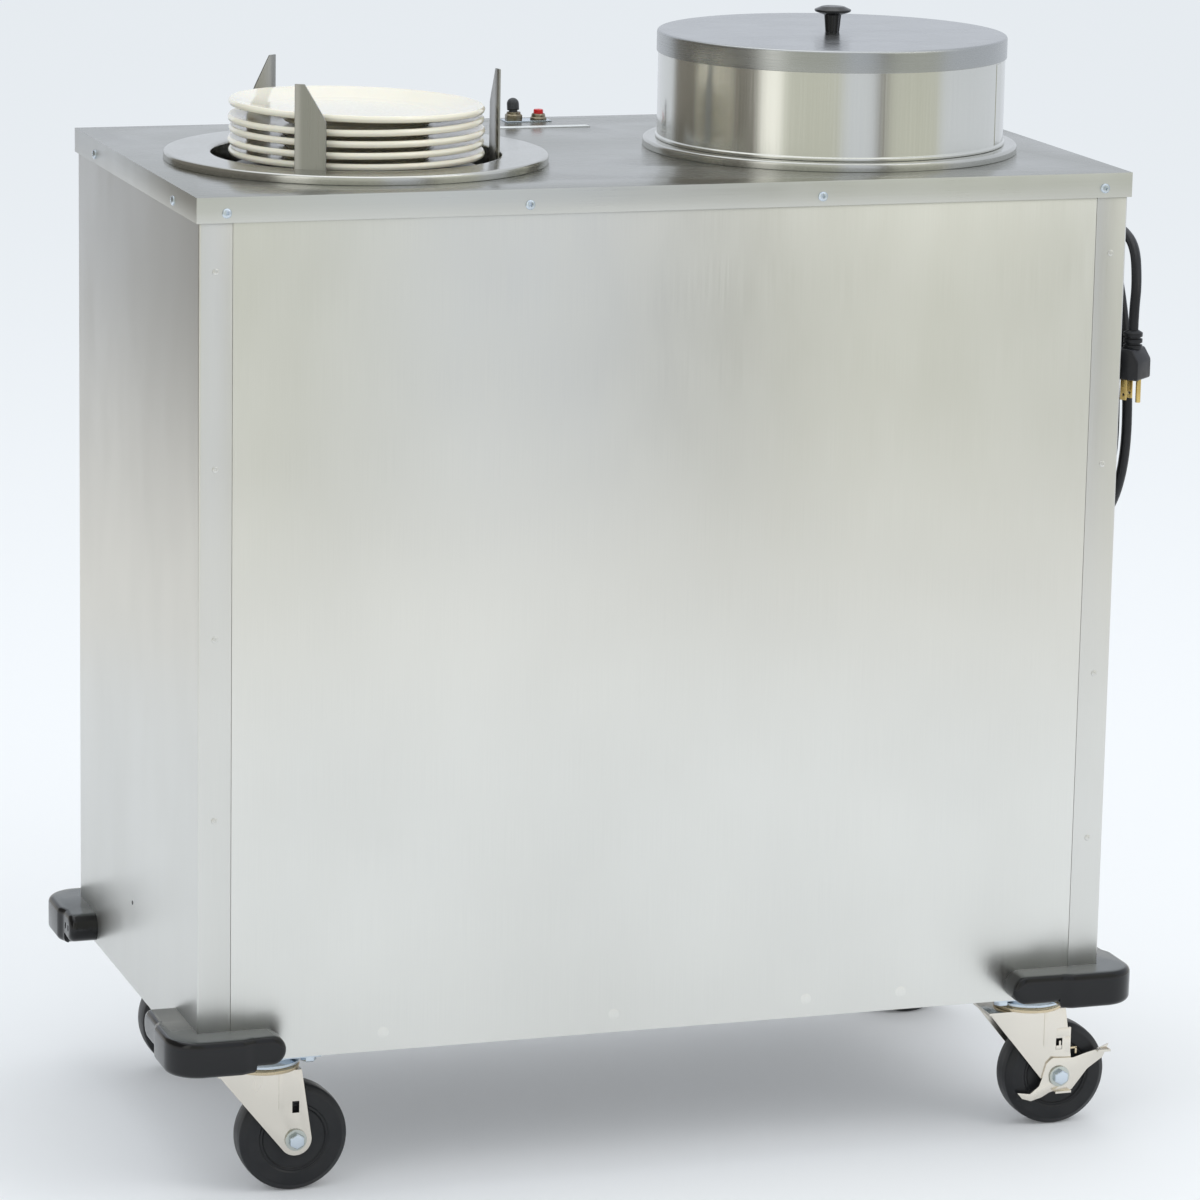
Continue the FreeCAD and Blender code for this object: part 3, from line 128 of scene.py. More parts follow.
class Finish:
    """A material with one Principled shader, and short ways to feed it."""

    def __init__(self, name, color, roughness, metallic=0.0, **sockets):
        self.material = bpy.data.materials.new(name)
        self.material.use_nodes = True
        self.tree = self.material.node_tree
        self.shader = self.tree.nodes["Principled BSDF"]
        self.shader.inputs["Base Color"].default_value = (*color, 1)
        self.shader.inputs["Roughness"].default_value = roughness
        self.shader.inputs["Metallic"].default_value = metallic
        for socket, number in sockets.items():
            self.shader.inputs[socket.replace("_", " ")].default_value = number
        self.material.diffuse_color = (*color, 1)

    def node(self, kind, **settings):
        made = self.tree.nodes.new("ShaderNode" + kind)
        for key, setting in settings.items():
            setattr(made, key, setting)
        return made

    def link(self, out, into):
        self.tree.links.new(out, into)

    def noise(self, scale, stretch=(1, 1, 1), detail=3.0):
        """Noise on Object coordinates; stretch packs it along an axis."""
        where = self.node("TexCoord").outputs["Object"]
        mapping = self.node("Mapping")
        mapping.inputs["Scale"].default_value = stretch
        self.link(where, mapping.inputs["Vector"])
        noise = self.node("TexNoise")
        noise.inputs["Scale"].default_value = scale
        noise.inputs["Detail"].default_value = detail
        self.link(mapping.outputs["Vector"], noise.inputs["Vector"])
        return noise.outputs["Fac"]

    def spread(self, value, low, high, start=0.3, stop=0.7):
        """Maps a value between start and stop onto low to high."""
        ranged = self.node("MapRange")
        for socket, number in zip(("From Min", "From Max", "To Min", "To Max"), (start, stop, low, high)):
            ranged.inputs[socket].default_value = number
        self.link(value, ranged.inputs["Value"])
        return ranged.outputs["Result"]

    def tint(self, value, dark, light, start=0.3, stop=0.7):
        """A colour between two, by a value."""
        ramp = self.node("ValToRGB")
        ramp.color_ramp.elements[0].position = start
        ramp.color_ramp.elements[1].position = stop
        ramp.color_ramp.elements[0].color = (*dark, 1)
        ramp.color_ramp.elements[1].color = (*light, 1)
        self.link(value, ramp.inputs["Fac"])
        return ramp.outputs["Color"]

    def feed(self, out, socket):
        self.link(out, self.shader.inputs[socket])

    def bump(self, height, depth, strength=1.0):
        """Adds relief of a real depth, in metres, on top of any earlier one."""
        bump = self.node("Bump")
        bump.inputs["Distance"].default_value = depth
        bump.inputs["Strength"].default_value = strength
        earlier = self.shader.inputs["Normal"].links
        if earlier:
            self.link(earlier[0].from_socket, bump.inputs["Normal"])
        self.link(height, bump.inputs["Height"])
        self.link(bump.outputs["Normal"], self.shader.inputs["Normal"])


# %% [markdown]
# ## Brushed stainless
#
# Sheet steel is ground with a belt before it is folded, so its grain runs one
# way along each sheet. Seen close it is thousands of hair lines; from a step
# away it only stretches reflections and clouds the sheet a little. One maker
# takes the direction as a stretch of the noise: a big number packs the lines
# across that axis, a small one draws them out along it.

# %% The steels


def steel(name, color, roughness, grain, clouds=0.06, line_depth=0.00002, waves=0.0):
    finish = Finish(name, color, roughness, metallic=1.0)
    hair = finish.noise(1.0, grain, detail=4.0)
    cloud = finish.noise(3.5, detail=2.0)
    smear = finish.noise(22.0, (1, 1, 0.35), detail=4.0)
    mixed = finish.node("Math", operation="MULTIPLY_ADD")
    mixed.inputs[1].default_value = 0.35
    finish.link(hair, mixed.inputs[0])
    finish.link(cloud, mixed.inputs[2])
    dark = [c * (1 - clouds) for c in color]
    light = [min(1, c * (1 + clouds)) for c in color]
    finish.feed(finish.tint(mixed.outputs["Value"], dark, light, 0.45, 0.9), "Base Color")
    rough = finish.node("Math", operation="ADD")
    finish.link(finish.spread(hair, -0.03, 0.04), rough.inputs[0])
    finish.link(finish.spread(smear, roughness - 0.02, roughness + 0.03), rough.inputs[1])
    finish.feed(rough.outputs["Value"], "Roughness")
    finish.bump(hair, line_depth, 0.35)
    if waves:
        finish.bump(finish.noise(2.2, detail=1.0), waves, 0.6)
    return finish


UPRIGHT, ALONG_X = (1400, 1400, 14), (9, 1400, 1400)
PLATED, BRIGHT = 0.000004, 0.0000015  # depth of the lines in a plated surface, in metres
# The side sheets are the same stainless as the front, given a darker colour: painted shade.
FRONT_SHEET, SHADED_SIDE_SHEET = (0.74, 0.74, 0.71), (0.69, 0.69, 0.665)
steel_front = steel("brushed_front", FRONT_SHEET, 0.33, UPRIGHT, clouds=0.05, waves=0.0010)
steel_side_painted_shade = steel("brushed_side_painted_shade", SHADED_SIDE_SHEET, 0.35, UPRIGHT, clouds=0.04, waves=0.0008)
# The top's flat face is the same stainless, given a dark olive colour: a painted dark reflection.
steel_top_painted_reflection = steel("brushed_top_painted_reflection", (0.375, 0.378, 0.352), 0.24, (6, 2200, 2200), clouds=0.03, waves=0.0003)
steel_ring = steel("spun_ring", (0.55, 0.55, 0.52), 0.20, (300, 300, 300), clouds=0.02)
steel_post = steel("brushed_post", (0.33, 0.327, 0.305), 0.30, UPRIGHT, clouds=0.04)
steel_cover = steel("brushed_cover", (0.66, 0.66, 0.62), 0.17, (700, 700, 8), clouds=0.06)
steel_cap = steel("brushed_cap", (0.42, 0.43, 0.435), 0.24, (5, 1500, 1500), clouds=0.02)
steel_band = steel("brushed_cap_band", (0.42, 0.43, 0.425), 0.26, (5, 5, 1500), clouds=0.03)
steel_rim = steel("brushed_rim", (0.62, 0.63, 0.61), 0.31, (9, 9, 1400), clouds=0.04)
steel_plain = steel("mill_sheet", (0.50, 0.50, 0.50), 0.42, ALONG_X)
steel_plated = steel("plated_fork", (0.73, 0.69, 0.62), 0.24, (40, 40, 6), clouds=0.07, line_depth=BRIGHT)
steel_bolt = steel("plated_bolt", (0.60, 0.67, 0.74), 0.22, (60, 60, 60), clouds=0.06, line_depth=PLATED)
steel_washer = steel("plated_washer", (0.50, 0.53, 0.50), 0.26, (60, 60, 60), clouds=0.08, line_depth=PLATED)
steel_spring = steel("spring_wire", (0.42, 0.42, 0.43), 0.35, (1, 1, 800), line_depth=0.0004)
race_brass = steel("yellow_plated_race", (0.62, 0.52, 0.36), 0.26, (80, 80, 80), clouds=0.12,
                   line_depth=PLATED)
# The switch nut and the pilot's ring are brass, given a darker colour than brass: a painted dark reflection.
brass_painted_dark = steel("brass_painted_dark_reflection", (0.27, 0.235, 0.17), 0.30, (120, 120, 120), clouds=0.15, line_depth=PLATED)
print("steels:", len(bpy.data.materials))

# %% [markdown]
# ## Rubber, vinyl, china and the rest
#
# The dark pieces differ by gloss far more than by colour. The bumpers are
# vinyl, nearly wet; the wheels are hard rubber with dust in the tread; the
# cord is satin. China is pale: its glaze is a clear coat on a
# body that lets a little light in.

# %% The other finishes
# The vinyl's upward faces get a lighter grey: a painted sheen, with some dust.
VINYL_BLACK, DUST_AND_SHEEN_GREY = (0.004, 0.0042, 0.005), (0.090, 0.098, 0.098)
vinyl = Finish("bumper_vinyl", VINYL_BLACK, 0.10, Specular_IOR_Level=0.4)
vinyl.feed(vinyl.spread(vinyl.noise(60, detail=5), 0.07, 0.14), "Roughness")
lie = vinyl.node("SeparateXYZ")  # painted sheen with some dust: what faces up gets a lighter grey
vinyl.link(vinyl.node("TexCoord").outputs["Normal"], lie.inputs[0])
vinyl.feed(vinyl.tint(lie.outputs["Z"], VINYL_BLACK, DUST_AND_SHEEN_GREY, 0.86, 1.0), "Base Color")
vinyl.bump(vinyl.noise(28, detail=2), 0.0005, 0.5)
vinyl.bump(vinyl.noise(700, detail=2), 0.00001, 0.3)

tread = Finish("wheel_rubber", (0.010, 0.011, 0.013), 0.42, Specular_IOR_Level=0.35)
dust = tread.noise(45, detail=6)
tread.feed(tread.tint(dust, (0.007, 0.008, 0.010), (0.016, 0.0165, 0.018), 0.35, 0.8), "Base Color")
tread.feed(tread.spread(dust, 0.34, 0.52), "Roughness")
tread.bump(tread.noise(500, detail=3), 0.00002, 0.5)

jacket = Finish("cord_jacket", (0.008, 0.0085, 0.011), 0.36, Specular_IOR_Level=0.35)
jacket.feed(jacket.spread(jacket.noise(120, detail=4), 0.30, 0.44), "Roughness")
jacket.bump(jacket.noise(1200, detail=2), 0.00001, 0.4)

moulded = Finish("moulded_black", (0.006, 0.006, 0.007), 0.2)
moulded.feed(moulded.spread(moulded.noise(90, detail=4), 0.14, 0.30), "Roughness")

boot_rubber = Finish("boot_rubber", (0.030, 0.032, 0.036), 0.42)
boot_rubber.feed(boot_rubber.spread(boot_rubber.noise(300, detail=3), 0.35, 0.52), "Roughness")

lens_red = Finish("lens_red", (0.60, 0.012, 0.016), 0.25, Coat_Weight=0.2, Specular_IOR_Level=0.4)
lens_red.feed(lens_red.tint(lens_red.noise(180), (0.46, 0.006, 0.010), (0.70, 0.020, 0.022)), "Base Color")

blade_brass = steel("blade_brass", (0.70, 0.52, 0.20), 0.26, (90, 90, 90), clouds=0.12, line_depth=PLATED)

china = Finish("ivory_china", (0.80, 0.76, 0.64), 0.16, Coat_Weight=0.5, Coat_Roughness=0.05)
china.shader.inputs["Subsurface Weight"].default_value = 0.12
china.shader.inputs["Subsurface Radius"].default_value = (0.006, 0.004, 0.002)
speck = china.noise(420, detail=5)
tone = china.noise(9, detail=3)
china.feed(china.tint(tone, (0.78, 0.735, 0.60), (0.84, 0.80, 0.68)), "Base Color")
china.feed(china.spread(speck, 0.12, 0.22), "Roughness")
china.bump(china.noise(60, detail=2), 0.00012, 0.4)

dark_paint = Finish("dark_housing", (0.05, 0.05, 0.055), 0.5)
dark_paint.feed(dark_paint.spread(dark_paint.noise(400, detail=3), 0.42, 0.6), "Roughness")

label_blank = Finish("blank_label", (0.70, 0.72, 0.72), 0.4)
label_blank.feed(label_blank.spread(label_blank.noise(250, detail=3), 0.34, 0.46), "Roughness")

# %% [markdown]
# ## Small tools for shapes
#
# Most pieces here are either turned on a lathe or folded from sheet. A lathe
# piece is a profile spun round an axis. A folded piece already has the right
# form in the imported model, only with knife-sharp edges, so a copy of it is
# merged, cleaned and bevelled: a bright line along an edge is what makes
# sheet steel read as real.

# %% Making an object of a bmesh
PIECES = []


def add_piece(mesh_builder, name, body, finish, stands_for=(), sharp=30):
    """Turns a bmesh into a piece with its finish; it rides on a body unless that is None."""
    mesh = bpy.data.meshes.new(name)
    mesh_builder.to_mesh(mesh)
    mesh_builder.free()
    mesh.polygons.foreach_set("use_smooth", [True] * len(mesh.polygons))
    mesh.set_sharp_from_angle(angle=math.radians(sharp))
    piece = bpy.data.objects.new(name, mesh)
    bpy.context.collection.objects.link(piece)
    mesh.materials.append(finish.material)
    if body:
        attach(piece, body)
    if stands_for:
        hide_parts(*stands_for)
    PIECES.append(piece)
    return piece


def edge_finish(piece, finish):
    """Gives a flat piece's upright faces a finish of their own, as a grain turns at a fold."""
    piece.data.materials.append(finish.material)
    for face in piece.data.polygons:
        face.material_index = int(abs(face.normal.z) < 0.6)


# %% Folded and cut pieces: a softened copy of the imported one


def softened(node, width, segments=2, sharp=25):
    """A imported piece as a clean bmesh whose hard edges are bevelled."""
    shape = bmesh.new()
    shape.from_mesh(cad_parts[node].data)
    bmesh.ops.remove_doubles(shape, verts=shape.verts, dist=0.00002)
    bmesh.ops.dissolve_limit(shape, angle_limit=math.radians(1), verts=shape.verts, edges=shape.edges)
    hard = [e for e in shape.edges if e.is_manifold and e.calc_face_angle(0) > math.radians(sharp)]
    bmesh.ops.bevel(shape, geom=hard, offset=width, segments=segments, affect="EDGES",
                    profile=0.5, material=-1, clamp_overlap=True)
    return shape


def soften_node(node, body, finish, width, segments=2):
    return add_piece(softened(node, width, segments), node + "_sheet", body, finish, [node])


# %% Turned pieces: a profile with rounded corners, spun


def rounded(points, closed=False, steps=5):
    """Replaces each (radius, height, round) corner by a short arc of points."""
    result = []
    count = len(points)
    for i, corner in enumerate(points):
        at = Vector(corner[:2])
        ends = not closed and i in (0, count - 1)
        if len(corner) < 3 or ends:
            result.append(at)
            continue
        back = (Vector(points[i - 1][:2]) - at)
        ahead = (Vector(points[(i + 1) % count][:2]) - at)
        reach = min(corner[2] / math.tan(back.angle(ahead) / 2), back.length / 2.05, ahead.length / 2.05)
        start, stop = at + back.normalized() * reach, at + ahead.normalized() * reach
        for step in range(steps + 1):
            t = step / steps
            result.append(start.lerp(at, t).lerp(at.lerp(stop, t), t))
    return result


def spun(profile, centre=(0, 0, 0), steps=160, closed=False):
    """Spins a profile of (radius, height) round an upright line through centre."""
    shape = bmesh.new()
    corners = [shape.verts.new((p[0], 0, p[1])) for p in profile]
    links = [shape.edges.new(pair) for pair in zip(corners, corners[1:])]
    if closed:
        links.append(shape.edges.new((corners[-1], corners[0])))
    bmesh.ops.spin(shape, geom=corners + links, cent=(0, 0, 0), axis=(0, 0, 1),
                   angle=2 * math.pi, steps=steps, use_merge=True)
    bmesh.ops.remove_doubles(shape, verts=shape.verts, dist=1e-6)
    bmesh.ops.recalc_face_normals(shape, faces=shape.faces)
    bmesh.ops.transform(shape, matrix=Matrix.Translation(centre), verts=shape.verts)
    return shape


def joined(*shapes):
    """Several bmeshes as one; the later ones are freed."""
    whole = shapes[0]
    for other in shapes[1:]:
        mesh = bpy.data.meshes.new("part")
        other.to_mesh(mesh)
        other.free()
        whole.from_mesh(mesh)
        bpy.data.meshes.remove(mesh)
    return whole


def turned_copy(shape, matrix):
    """A moved copy of a bmesh; the original stays as it was."""
    other = shape.copy()
    bmesh.ops.transform(other, matrix=matrix, verts=other.verts)
    return other


# %% Blocks and hex heads


def brick(low, high, soft, segments=3):
    """A box between two corners with rounded edges."""
    shape = bmesh.new()
    bmesh.ops.create_cube(shape, size=1)
    low, high = Vector(low), Vector(high)
    place = Matrix.Translation((low + high) / 2) @ Matrix.Diagonal((*(high - low), 1))
    bmesh.ops.transform(shape, matrix=place, verts=shape.verts)
    if soft:
        bmesh.ops.bevel(shape, geom=list(shape.edges), offset=soft, segments=segments, affect="EDGES",
                        profile=0.5, material=-1, clamp_overlap=True)
    return shape


def hex_head(flats, height, centre, axis, dome=0.12):
    """A hex head with its corners chamfered by a cone, seated at centre."""
    radius = flats / math.sqrt(3)
    shape = bmesh.new()
    bmesh.ops.create_circle(shape, cap_ends=True, segments=6, radius=radius)
    base = list(shape.faces)
    lifted = bmesh.ops.extrude_face_region(shape, geom=base)
    top = [v for v in lifted["geom"] if isinstance(v, bmesh.types.BMVert)]
    bmesh.ops.translate(shape, verts=top, vec=(0, 0, height * (1 - dome)))
    lid = [f for f in shape.faces if all(v in top for v in f.verts)]
    crown = bmesh.ops.extrude_face_region(shape, geom=lid)
    crest = [v for v in crown["geom"] if isinstance(v, bmesh.types.BMVert)]
    bmesh.ops.delete(shape, geom=lid, context="FACES_ONLY")
    bmesh.ops.translate(shape, verts=crest, vec=(0, 0, height * dome))
    bmesh.ops.scale(shape, verts=crest, vec=(0.84, 0.84, 1))
    bmesh.ops.bevel(shape, geom=list(shape.edges), offset=height * 0.05, segments=2, affect="EDGES",
                    profile=0.5, material=-1, clamp_overlap=True)
    bmesh.ops.recalc_face_normals(shape, faces=shape.faces)
    way = Vector((0, 0, 1)).rotation_difference(Vector(axis)).to_matrix().to_4x4()
    bmesh.ops.transform(shape, matrix=Matrix.Translation(centre) @ way, verts=shape.verts)
    return shape


# %% Cutting one solid out of another


def as_object(shape, name):
    mesh = bpy.data.meshes.new(name)
    shape.to_mesh(mesh)
    shape.free()
    made = bpy.data.objects.new(name, mesh)
    bpy.context.collection.objects.link(made)
    return made


def carve(solid, cutter, operation="DIFFERENCE"):
    """Applies a boolean to an object's mesh and removes the cutter."""
    modifier = solid.modifiers.new("carve", "BOOLEAN")
    modifier.operation = operation
    modifier.solver = "EXACT"
    modifier.object = cutter
    bpy.context.view_layer.update()
    evaluated = solid.evaluated_get(bpy.context.evaluated_depsgraph_get())
    solid.data = bpy.data.meshes.new_from_object(evaluated)
    solid.modifiers.clear()
    bpy.data.objects.remove(cutter)


def taken(solid):
    """An object's mesh as a bmesh; the object goes."""
    shape = bmesh.new()
    shape.from_mesh(solid.data)
    bpy.data.objects.remove(solid)
    return shape


# %% [markdown]
# ## The cord
#
# The mains cord leaves the right end low down, swings under itself and up to
# a hook, hangs from it in two loops and a bit, and ends in a plug. It is one
# fixed length of something flexible, so it is a smooth curve through a few
# chosen points, and its loops come from a formula: taller above their widest
# place than below, as a hung coil is.

# %% Route of the cord, off the right-hand panel
CORD_DIAMETER = 9.5 * MM
COIL_TURNS, COIL_X, COIL_STEP = 2.25, 6.5, 12.6
COIL_Y, COIL_Z, COIL_HALF, COIL_RISE, COIL_DROP = -110, 541, 87, 173, 110
COIL_POINTS = 16  # points of the curve in one turn

EXIT_ROUTE = [
    (20.0, 82, 330), (20.0, 81, 276), (17.0, 56, 221), (12.0, 6, 218), (8.5, -25, 270),
    (6.5, -30, 356), (5.4, -23, 448),
]
PLUG_ROUTE = [(35.5, -146, 713), (31.5, -186, 703), (22.5, -213, 672), (18.4, -218, 648)]
PLUG_AT = (18.4, -218, 630)


def on_side(x, y, z):
    """A point in millimetres off the right panel, above its bottom edge."""
    return Vector((SIDE_X + x * MM, y * MM, BOTTOM_Z + z * MM))


def coil_point(turn_number):
    angle = 2 * math.pi * turn_number
    high = COIL_RISE if math.sin(angle) > 0 else COIL_DROP
    swell = 1 / math.cos(math.pi / COIL_POINTS) ** 0.5  # the curve runs inside its points
    return on_side(COIL_X + COIL_STEP * turn_number, COIL_Y + COIL_HALF * swell * math.cos(angle),
                   COIL_Z + high * swell * math.sin(angle))


route = [on_side(*p) for p in EXIT_ROUTE]
route += [coil_point(i / COIL_POINTS) for i in range(round(COIL_TURNS * COIL_POINTS) + 1)]
route += [on_side(*p) for p in PLUG_ROUTE + [PLUG_AT]]

# %% The cord as one smooth curve
cord_curve = bpy.data.curves.new("mains_cord", "CURVE")
cord_curve.dimensions = "3D"
cord_curve.resolution_u = 6
cord_curve.bevel_depth = CORD_DIAMETER / 2
cord_curve.bevel_resolution = 5
cord_curve.use_fill_caps = True
strand = cord_curve.splines.new("NURBS")
strand.points.add(len(route) - 1)
for point, at in zip(strand.points, route):
    point.co = (*at, 1)
strand.order_u = 3
strand.use_endpoint_u = True
cord = bpy.data.objects.new("mains_cord", cord_curve)
bpy.context.collection.objects.link(cord)
cord_curve.materials.append(jacket.material)
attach(cord, "cabinet")
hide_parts("cord_exit_lead", "cord_coil", "cord_plug_lead")
print("cord points:", len(route))

# %% [markdown]
# ## The plug and the sleeve
#
# The plug hangs with its blades down. It is a moulded block whose shoulder
# slopes on the side of the ground pin, with a notched grip for the cord.
# The sleeve at the cabinet tapers the other way: wide at the panel, so that
# the cord can't kink there.

# %% Plug
PLUG_LOW, PLUG_HIGH = box_of("cord_plug")
PLUG_MID = Vector((*on_side(*PLUG_AT).xy, 0))
BLADE_TURN = math.radians(41)
GRIP_LENGTH, PLUG_HALF, PLUG_DEEP = 16 * MM, 15 * MM, 12.5 * MM
plug_turn = Matrix.Translation(PLUG_MID) @ Matrix.Rotation(BLADE_TURN, 4, "Z")
block_top = PLUG_HIGH.z - GRIP_LENGTH

plug_block = brick((-PLUG_HALF, -PLUG_DEEP, PLUG_LOW.z), (PLUG_HALF, PLUG_DEEP, block_top), 0)
for side, steep in ((-1, 0.62), (1, 0.25)):
    whole = plug_block.verts[:] + plug_block.edges[:] + plug_block.faces[:]
    bmesh.ops.bisect_plane(plug_block, geom=whole, plane_co=(0, side * PLUG_DEEP, block_top - 11 * MM),
                           plane_no=(0, side, steep), clear_outer=True)
    bmesh.ops.holes_fill(plug_block, edges=[e for e in plug_block.edges if e.is_boundary])
corner_edges = [e for e in plug_block.edges if e.is_manifold and e.calc_face_angle(0) > math.radians(20)]
bmesh.ops.bevel(plug_block, geom=corner_edges, offset=2.2 * MM, segments=4, affect="EDGES", profile=0.5,
                material=-1, clamp_overlap=True)
bmesh.ops.recalc_face_normals(plug_block, faces=plug_block.faces)
bmesh.ops.transform(plug_block, matrix=plug_turn, verts=plug_block.verts)
grip_steps = []
for ring in range(3):
    z = block_top - 1 * MM + ring * 5.6 * MM
    grip_steps += [(8.9 * MM, z), (8.9 * MM, z + 3.6 * MM),
                   (7.0 * MM, z + 3.8 * MM), (7.0 * MM, z + 5.4 * MM)]
grip = spun(rounded([(0.1 * MM, block_top - 2 * MM)] + [(*p, 0.5 * MM) for p in grip_steps[:-2]]
                    + [(5.4 * MM, PLUG_HIGH.z), (0.1 * MM, PLUG_HIGH.z)], steps=2), PLUG_MID, 40)
plug = add_piece(joined(plug_block, grip), "mains_plug", "cabinet", jacket, ["cord_plug"])

# %% Blades and ground pin, bevelled and drilled
blades = as_object(softened("plug_blades", 0.35 * MM, 2), "prongs_solid")
BLADE_TIP = PLUG_LOW.z - 20 * MM
for hand in (-1, 1):
    drill = brick((hand * 6.35 * MM - 2 * MM, 3.1 * MM, BLADE_TIP + 3.6 * MM),
                  (hand * 6.35 * MM + 2 * MM, 5.9 * MM, BLADE_TIP + 6.4 * MM), 1.2 * MM, 3)
    carve(blades, as_object(turned_copy(drill, plug_turn), "drill"))
plug_blades = add_piece(taken(blades), "plug_prongs", "cabinet", blade_brass, ["plug_blades"])

# %% Strain relief with ribs
RELIEF_LOW, RELIEF_HIGH = box_of("strain_relief")
sleeve_mid = on_side(20, 82, 0)
sleeve_mid.z = RELIEF_LOW.z
RIBS = 6
sleeve = []
for rib in range(RIBS):
    share = rib / RIBS
    r = (6.1 + 2.4 * share) * MM
    z = 34 * MM * share
    sleeve += [(r, z), (r + 0.1 * MM, z + 3.6 * MM),
               (r - 0.9 * MM, z + 3.9 * MM), (r - 0.9 * MM, z + 5.4 * MM)]
sleeve_shape = spun(rounded([(4.9 * MM, 0)] + [(*p, 0.4 * MM) for p in sleeve]
                            + [(8.5 * MM, 34 * MM), (0.1 * MM, 34.5 * MM)], steps=2), sleeve_mid, 40)
elbow = brick((SIDE_X, sleeve_mid.y - 10.5 * MM, RELIEF_LOW.z + 34 * MM),
              (RELIEF_HIGH.x, sleeve_mid.y + 10.5 * MM, RELIEF_HIGH.z), 4 * MM, 4)
add_piece(joined(sleeve_shape, elbow), "strain_sleeve", "cabinet", jacket,
          ["strain_relief"])

# %% [markdown]
# ## Cabinet sheets
#
# Five folded sheets make the cabinet. Their form and the fine dark seams
# between them are in the imported model already. The rim of the top is ground
# along its length, so it has a finish of its own. A sheet bends round a small
# radius, so its edges catch a thin line of light: a quarter of a millimetre
# on the panels, about one along the rim of the top.

# %% Sheets
# The top's flat face carries that painted dark reflection; its upright rim gets the lighter rim finish.
top = soften_node("top_panel", "cabinet", steel_top_painted_reflection, 1.1 * MM, 3)
edge_finish(top, steel_rim)
soften_node("front_panel", "cabinet", steel_front, 0.25 * MM)
soften_node("back_panel", "cabinet", steel_front, 0.25 * MM)
soften_node("side_panel_left", "cabinet", steel_side_painted_shade, 0.25 * MM)
soften_node("side_panel_right", "cabinet", steel_side_painted_shade, 0.25 * MM)
soften_node("bottom_pan", "cabinet", steel_plain, 0.3 * MM)
soften_node("caster_channels", "cabinet", steel_plain, 0.4 * MM)
soften_node("cord_hook", "cabinet", steel_plain, 0.5 * MM, 3)

# %% [markdown]
# ## Screws and rivets
#
# The rim of the top is held by pan-head screws with a cross recess, and the
# panels by blind rivets down each flange. They are small, but they are the
# first thing that tells a cabinet from a box. The recess is cut with two
# crossed wedges; one screw is made and copied.

# %% One cross-head screw, then all of them
SCREW_RADIUS, SCREW_HEIGHT = 4.4 * MM, 2.4 * MM


def cross_screw():
    """A pan head along +Z with a cross recess, as a bmesh."""
    head = spun(rounded([(SCREW_RADIUS, 0), (SCREW_RADIUS, 0.9 * MM, 0.4 * MM),
                         (3.1 * MM, 2.1 * MM, 1.4 * MM), (0, SCREW_HEIGHT)], steps=4), steps=32)
    bmesh.ops.holes_fill(head, edges=[e for e in head.edges if e.is_boundary])
    bmesh.ops.recalc_face_normals(head, faces=head.faces)
    solid = as_object(head, "screw_solid")
    for quarter in (0, 90):
        wedge = brick((-2.4 * MM, -0.45 * MM, 0.9 * MM), (2.4 * MM, 0.45 * MM, 4 * MM), 0)
        for v in wedge.verts:
            if v.co.z < 1.5 * MM:
                v.co.x *= 0.35
        cutter = as_object(turned_copy(wedge, Matrix.Rotation(math.radians(quarter), 4, "Z")), "wedge")
        carve(solid, cutter)
    return taken(solid)


def aimed(place, way, roll=0.0):
    """A matrix that puts Z along a way, at a place, rolled about itself."""
    facing = Vector((0, 0, 1)).rotation_difference(Vector(way)).to_matrix().to_4x4()
    return Matrix.Translation(place) @ facing @ Matrix.Rotation(roll, 4, "Z")


random.seed(7)
screw = cross_screw()
RIM_LOW, RIM_HIGH = box_of("top_panel")
screw_z = middle_of("lip_screws").z
screws = []
outer_x = SIDE_X - 24 * MM
for x in (-outer_x, -outer_x / 3, outer_x / 3, outer_x):
    screws.append(turned_copy(screw, aimed((x, RIM_LOW.y, screw_z), (0, -1, 0), random.uniform(0, 3))))
    screws.append(turned_copy(screw, aimed((x, RIM_HIGH.y, screw_z), (0, 1, 0), random.uniform(0, 3))))
for y in (-153 * MM, 153 * MM):
    screws.append(turned_copy(screw, aimed((RIM_LOW.x, y, screw_z), (-1, 0, 0), random.uniform(0, 3))))
    screws.append(turned_copy(screw, aimed((RIM_HIGH.x, y, screw_z), (1, 0, 0), random.uniform(0, 3))))
screw.free()
add_piece(joined(*screws), "cross_head_screws", "cabinet", steel_bolt, ["lip_screws"])
print("screws:", len(screws))

# %% Blind rivets down the flanges
RIVET_RADIUS = 2.9 * MM
RIVET_X = 420 * MM
RIVETS_LEFT = (714, 540, 388, 224)   # above the bottom edge
RIVETS_RIGHT = (705, 509, 311, 153)


def rivet():
    shape = spun(rounded([(RIVET_RADIUS, 0), (RIVET_RADIUS * 0.9, 0.7 * MM, 0.4 * MM),
                          (1.2 * MM, 1.0 * MM, 0.3 * MM), (0.9 * MM, 0.5 * MM),
                          (0, 0.6 * MM)], steps=2), steps=20)
    return shape


one = rivet()
rivets = []
for x, heights in ((-RIVET_X, RIVETS_LEFT), (RIVET_X, RIVETS_RIGHT)):
    for height in heights:
        z = BOTTOM_Z + height * MM
        rivets.append(turned_copy(one, aimed((x, FRONT_Y, z), (0, -1, 0))))
        rivets.append(turned_copy(one, aimed((-x, -FRONT_Y, z), (0, 1, 0))))
one.free()
add_piece(joined(*rivets), "blind_rivets", "cabinet", steel_side_painted_shade)

